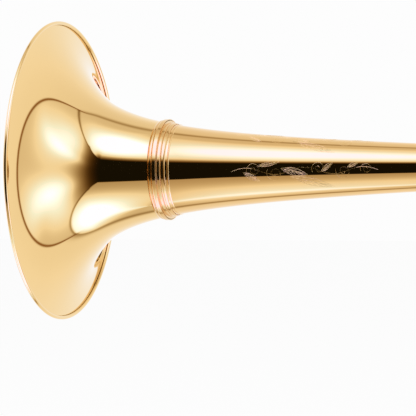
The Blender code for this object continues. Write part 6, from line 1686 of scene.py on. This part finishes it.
def soft(name, colour, roughness, grain):
    """Rubber or cork: a matt surface with a fine grain."""
    material = bpy.data.materials.new(name)
    material.use_nodes = True
    nodes = material.node_tree.nodes
    links = material.node_tree.links
    shader = nodes["Principled BSDF"]
    shader.inputs["Roughness"].default_value = roughness
    place = nodes.new("ShaderNodeTexCoord")
    cells = nodes.new("ShaderNodeTexVoronoi")
    cells.inputs["Scale"].default_value = grain
    links.new(place.outputs["Object"], cells.inputs["Vector"])
    tone = nodes.new("ShaderNodeValToRGB")
    tone.color_ramp.elements[0].color = (*[c * 0.6 for c in colour], 1.0)
    tone.color_ramp.elements[1].color = (*colour, 1.0)
    links.new(cells.outputs["Distance"], tone.inputs["Fac"])
    links.new(tone.outputs["Color"], shader.inputs["Base Color"])
    bump = nodes.new("ShaderNodeBump")
    bump.inputs["Strength"].default_value = 0.3
    bump.inputs["Distance"].default_value = 0.0003
    links.new(cells.outputs["Distance"], bump.inputs["Height"])
    links.new(bump.outputs["Normal"], shader.inputs["Normal"])
    return material


FINISHES = {
    "yellow_brass": metal("lacquered_brass", (0.912, 0.643, 0.297), 0.018, 0.02, 0.004),
    "bell_stem": metal("stem_brass", (0.90, 0.60, 0.265), 0.016, 0.03, 0.004),
    "engraved": metal("engraved_brass", (0.95, 0.62, 0.24), 0.24),
    "rose_brass": metal("rose_brass", (0.86, 0.56, 0.24), 0.08),
    "nickel_silver": metal("nickel_silver", (0.84, 0.74, 0.60), 0.13),
    "chrome": metal("hard_chrome", (0.86, 0.80, 0.70), 0.06),
    "steel": metal("plain_steel", (0.64, 0.58, 0.48), 0.28),
    "silver_plate": metal("silver_plate", (0.92, 0.84, 0.70), 0.07),
    "rubber": soft("black_rubber", (0.035, 0.035, 0.035), 0.7, 900.0),
    "cork": soft("cork", (0.55, 0.38, 0.22), 0.85, 700.0),
}


def dress_nodes():
    """Give every carried-over node the finish of its material slot."""
    for name, slot in SLOT_OF.items():
        node = frame["nodes"][name]
        node.data.materials.clear()
        node.data.materials.append(FINISHES[slot])
        node.visible_glossy = False


def make_camera():
    right = Vector((math.cos(CAMERA_YAW), math.sin(CAMERA_YAW), 0.0))
    level = Vector((-math.sin(CAMERA_YAW), math.cos(CAMERA_YAW), 0.0))
    forward = math.cos(CAMERA_PITCH) * level - math.sin(CAMERA_PITCH) * Z_AXIS
    upward = math.sin(CAMERA_PITCH) * level + math.cos(CAMERA_PITCH) * Z_AXIS
    camera_right = math.cos(CAMERA_ROLL) * right - math.sin(CAMERA_ROLL) * upward
    camera_up = math.sin(CAMERA_ROLL) * right + math.cos(CAMERA_ROLL) * upward
    data = bpy.data.cameras.new("camera")
    data.sensor_width = SENSOR_WIDTH
    data.lens = SENSOR_WIDTH * FOCAL_PIXELS / PHOTO_WIDTH
    data.clip_end = CLIP_END
    camera = link(bpy.data.objects.new("camera", data))
    pose = Matrix((camera_right, camera_up, -forward)).transposed().to_4x4()
    camera.matrix_world = Matrix.Translation(CAMERA_PLACE) @ pose
    bpy.context.scene.camera = camera


class Signal:
    """A number in a node tree: arithmetic signs between signals lay Math nodes."""

    def __init__(self, tree, socket):
        self.tree = tree
        self.socket = socket

    def feed(self, socket, value):
        if isinstance(value, Signal):
            self.tree.links.new(value.socket, socket)
        else:
            socket.default_value = value

    def math(self, operation, *values):
        node = self.tree.nodes.new("ShaderNodeMath")
        node.operation = operation
        for socket, value in zip(node.inputs, values):
            self.feed(socket, value)
        return Signal(self.tree, node.outputs[0])

    def __add__(self, other):
        return self.math("ADD", self, other)

    __radd__ = __add__

    def __sub__(self, other):
        return self.math("SUBTRACT", self, other)

    def __rsub__(self, other):
        return self.math("SUBTRACT", other, self)

    def __mul__(self, other):
        return self.math("MULTIPLY", self, other)

    __rmul__ = __mul__

    def __truediv__(self, other):
        return self.math("DIVIDE", self, other)

    def least(self, other):
        return self.math("MINIMUM", self, other)

    def most(self, other):
        return self.math("MAXIMUM", self, other)

    def power(self, exponent):
        return self.math("POWER", self, exponent)

    def ramp(self, low, high):
        """0 below low and 1 above high, smooth between them; low may be the larger one."""
        node = self.tree.nodes.new("ShaderNodeMapRange")
        node.interpolation_type = "SMOOTHSTEP"
        self.feed(node.inputs["Value"], self)
        node.inputs["From Min"].default_value = low
        node.inputs["From Max"].default_value = high
        return Signal(self.tree, node.outputs["Result"])

    def glow(self, width):
        """1 at zero, falling off as a bell curve of the given width."""
        step = self / width
        return self.math("EXPONENT", step * step * -1.0)

    def blend(self, second, share):
        """This signal where share is 0, the second where it is 1."""
        return self + (second - self) * share


def studio(tree):
    """How the white tent looks from inside: brightness by direction, and its seams.

    The tent is the same on both sides: aside runs from 0 degrees on the camera's side to 180 at the
    back, rise from -90 to 90 degrees. Between the ceiling above and the floor card below lies a dark
    gap at the camera's height, which opens into two pairs of lamps behind cloth at the sides. Plain
    white cloth closes the back, with a dark seam round it.
    """
    place = tree.nodes.new("ShaderNodeTexCoord")
    split = tree.nodes.new("ShaderNodeSeparateXYZ")
    tree.links.new(place.outputs["Generated"], split.inputs["Vector"])
    east, north, up = [Signal(tree, socket) for socket in split.outputs]
    radians = east.math("ARCTAN2", east.math("ABSOLUTE", east), north * -1.0)
    aside = east.math("DEGREES", radians)
    rise = east.math("DEGREES", east.math("ARCSINE", up))

    def lamp(peak, centre, width, height, depth, tilt=0.0):
        """A soft patch of light; tilt makes it climb with the direction."""
        across = aside - centre
        along = rise - height - across * tilt
        return across.glow(width) * along.glow(depth) * peak

    bow = 112.0 - aside
    top = (17.95 + 1.06 * (aside - 30.0)).least(49.03 - 0.0033 * bow * bow).most(18.29)
    step = aside - 42.0
    near = 18.7 + 0.648 * (aside - 33.0)
    drop = (24.84 - 0.19 * aside).most(near.least(25.36 + 0.2575 * step + 0.0003 * step * step))
    over = rise - top
    under = -1.0 * drop - rise

    ceiling = 0.775 + lamp(4.4155, 22.68, 21.77, 48.17, 16.88) + lamp(1.347, 40.0, 35.0, 57.9, 17.57)
    front_hem = aside.ramp(39.2, 31.2) * (1.0 - over.ramp(-1.0, 14.55))
    ceiling = ceiling * (1.0 - front_hem)
    lamps = lamp(1.776, 78.9, 21.65, 25.3, 14.9) + lamp(1.2955, 81.7, 19.8, 17.7, 5.0, 0.18)
    lamps = lamps + lamp(1.334, 86.0, 15.1, -19.95, 13.3, -0.4) + lamp(1.83, 96.1, 21.5, -13.0, 7.1)
    wall = 0.0085 + 0.7786 * aside.ramp(29.7, 91.6) + lamps * aside.ramp(25.0, 45.0)
    floor = 0.434 + 0.288 * rise.ramp(1.06, -78.9) + lamp(4.855, 77.9, 44.0, -62.2, 20.8, 0.057)
    front = wall.blend(ceiling, over.ramp(-SEAM_SOFT, SEAM_SOFT)).blend(floor, under.ramp(-SEAM_SOFT, SEAM_SOFT))
    hem = over.glow(1.1).most(under.glow(1.1)) * 0.62 * aside.ramp(32.0, 50.0)
    front = front * (1.0 - hem)

    toward_back = east.math("COSINE", radians) * -1.0
    sideways = east.math("SINE", radians)
    slope = (4.0 * toward_back - 0.59 * sideways).most(0.01)
    back_top = east.math("DEGREES", east.math("ARCTANGENT", slope))
    slope = 0.90 + 1.744 * toward_back.most(0.0).power(3.0)
    back_low = -1.0 * east.math("DEGREES", east.math("ARCTANGENT", slope))
    past_edge = aside - 117.8 - 3.87 * (rise + 12.1).glow(23.85)
    below_top = back_top - rise
    above_low = rise - back_low
    inside = past_edge.ramp(-SEAM_SOFT, SEAM_SOFT) * below_top.ramp(-SEAM_SOFT, SEAM_SOFT)
    inside = inside * above_low.ramp(-SEAM_SOFT, SEAM_SOFT)
    back = 0.957 + lamp(0.33, 180.0, 32.5, 0.0, 28.4) - 0.083 * rise.ramp(20.0, 70.0)
    seam = 0.711 * past_edge.glow(0.9) * below_top.ramp(-3.0, 1.0) * above_low.ramp(-3.0, 1.0)
    ends = (0.461 * below_top.glow(4.65)).most(0.526 * above_low.glow(5.0)) * past_edge.ramp(-4.0, 0.0)
    light = front.blend(back, inside) * (1.0 - seam.most(ends))
    return light, seam


def tinted(tree, light):
    """Lacquered brass turns deeper in its shade and paler in its highlights; the tent's light does the same."""
    low = light.least(1.0)
    more = (light - 1.0).most(0.0)
    red = low + 0.04 * more + (more - 1.0).most(0.0).least(0.5)
    green = 0.005 + low.power(1.3) + (0.36 * more).least(0.56)
    blue = 0.0025 + low.power(1.8) + more.least(2.4)
    colour = tree.nodes.new("ShaderNodeCombineColor")
    for name, value in zip(("Red", "Green", "Blue"), (red, green, blue)):
        value.feed(colour.inputs[name], value)
    return colour.outputs["Color"]


def mixed(tree, share, first, second):
    """A colour mix; first and second may be sockets or plain colours."""
    mix = tree.nodes.new("ShaderNodeMix")
    mix.data_type = "RGBA"
    mix.clamp_factor = True
    tree.links.new(share.socket, mix.inputs["Factor"])
    for name, value in (("A", first), ("B", second)):
        socket = [entry for entry in mix.inputs if entry.name == name and entry.type == "RGBA"][0]
        if isinstance(value, bpy.types.NodeSocket):
            tree.links.new(value, socket)
        else:
            socket.default_value = value
    return [entry for entry in mix.outputs if entry.type == "RGBA"][0]


def make_world():
    world = bpy.data.worlds.new("studio")
    bpy.context.scene.world = world
    world.use_nodes = True
    tree = world.node_tree
    light, seam = studio(tree)
    rays = tree.nodes.new("ShaderNodeLightPath")
    camera_ray, through_ray, mirror_ray = [
        Signal(tree, rays.outputs[name])
        for name in ("Is Camera Ray", "Is Transmission Ray", "Is Glossy Ray")
    ]
    mirrored = mixed(tree, seam, tinted(tree, light), SEAM_BROWN)
    colour = mixed(tree, mirror_ray, WHITE, mirrored)
    level = (DIFFUSE_LIGHT + (BACKGROUND - DIFFUSE_LIGHT) * camera_ray.most(through_ray)).blend(1.0, mirror_ray)
    back = tree.nodes["Background"]
    tree.links.new(colour, back.inputs["Color"])
    tree.links.new(level.socket, back.inputs["Strength"])


def make_stage():
    """Pale floor well below the instrument and one soft lamp above it."""
    low = Vector(CAD_BOUNDS[0])
    mesh = bmesh.new()
    bmesh.ops.create_grid(mesh, x_segments=1, y_segments=1, size=FLOOR_SIZE / 2.0)
    data = bpy.data.meshes.new("floor")
    mesh.to_mesh(data)
    mesh.free()
    floor = link(bpy.data.objects.new("floor", data))
    floor.location = (0.0, 0.0, low.z - FLOOR_DROP)
    material = bpy.data.materials.new("pale_floor")
    material.use_nodes = True
    tree = material.node_tree
    tree.nodes.clear()
    rays = tree.nodes.new("ShaderNodeLightPath")
    matt = tree.nodes.new("ShaderNodeBsdfDiffuse")
    matt.inputs["Color"].default_value = PALE
    glow = tree.nodes.new("ShaderNodeEmission")
    glow.inputs["Strength"].default_value = FLOOR_GLOW
    mix = tree.nodes.new("ShaderNodeMixShader")
    share = Signal(tree, rays.outputs["Is Camera Ray"]) * FLOOR_GLOW_SHARE
    tree.links.new(share.socket, mix.inputs["Fac"])
    tree.links.new(matt.outputs["BSDF"], mix.inputs[1])
    tree.links.new(glow.outputs["Emission"], mix.inputs[2])
    out = tree.nodes.new("ShaderNodeOutputMaterial")
    tree.links.new(mix.outputs["Shader"], out.inputs["Surface"])
    floor.data.materials.append(material)
    floor.visible_glossy = False
    data = bpy.data.lights.new("soft_lamp", "AREA")
    data.shape = "RECTANGLE"
    data.size, data.size_y = LAMP_SIZE
    data.energy = LAMP_POWER
    lamp = link(bpy.data.objects.new("soft_lamp", data))
    lamp.location = LAMP_PLACE
    lamp.rotation_euler = (Vector(LAMP_AIM) - lamp.location).to_track_quat("-Z", "Y").to_euler()
    lamp.visible_glossy = False


bpy.context.scene.view_settings.view_transform = "Standard"
dress_nodes()
make_flare()
make_stem(make_bell_ring())
make_engraving()
make_braces()
make_receiver()
valves = []
for number, x, side in ((1, VALVE_1_X, 1), (2, VALVE_2_X, -1)):
    valves.append((number, make_valve(number, x, side), x, side))
for valve in valves:
    make_linkage(*valve)
make_saddle(valves)
make_loops()
make_wrap()
make_inner_slide()
make_lock_ring()
make_outer_slide()
make_mouthpiece_side()
make_camera()
make_world()
make_stage()
bpy.context.view_layer.update()
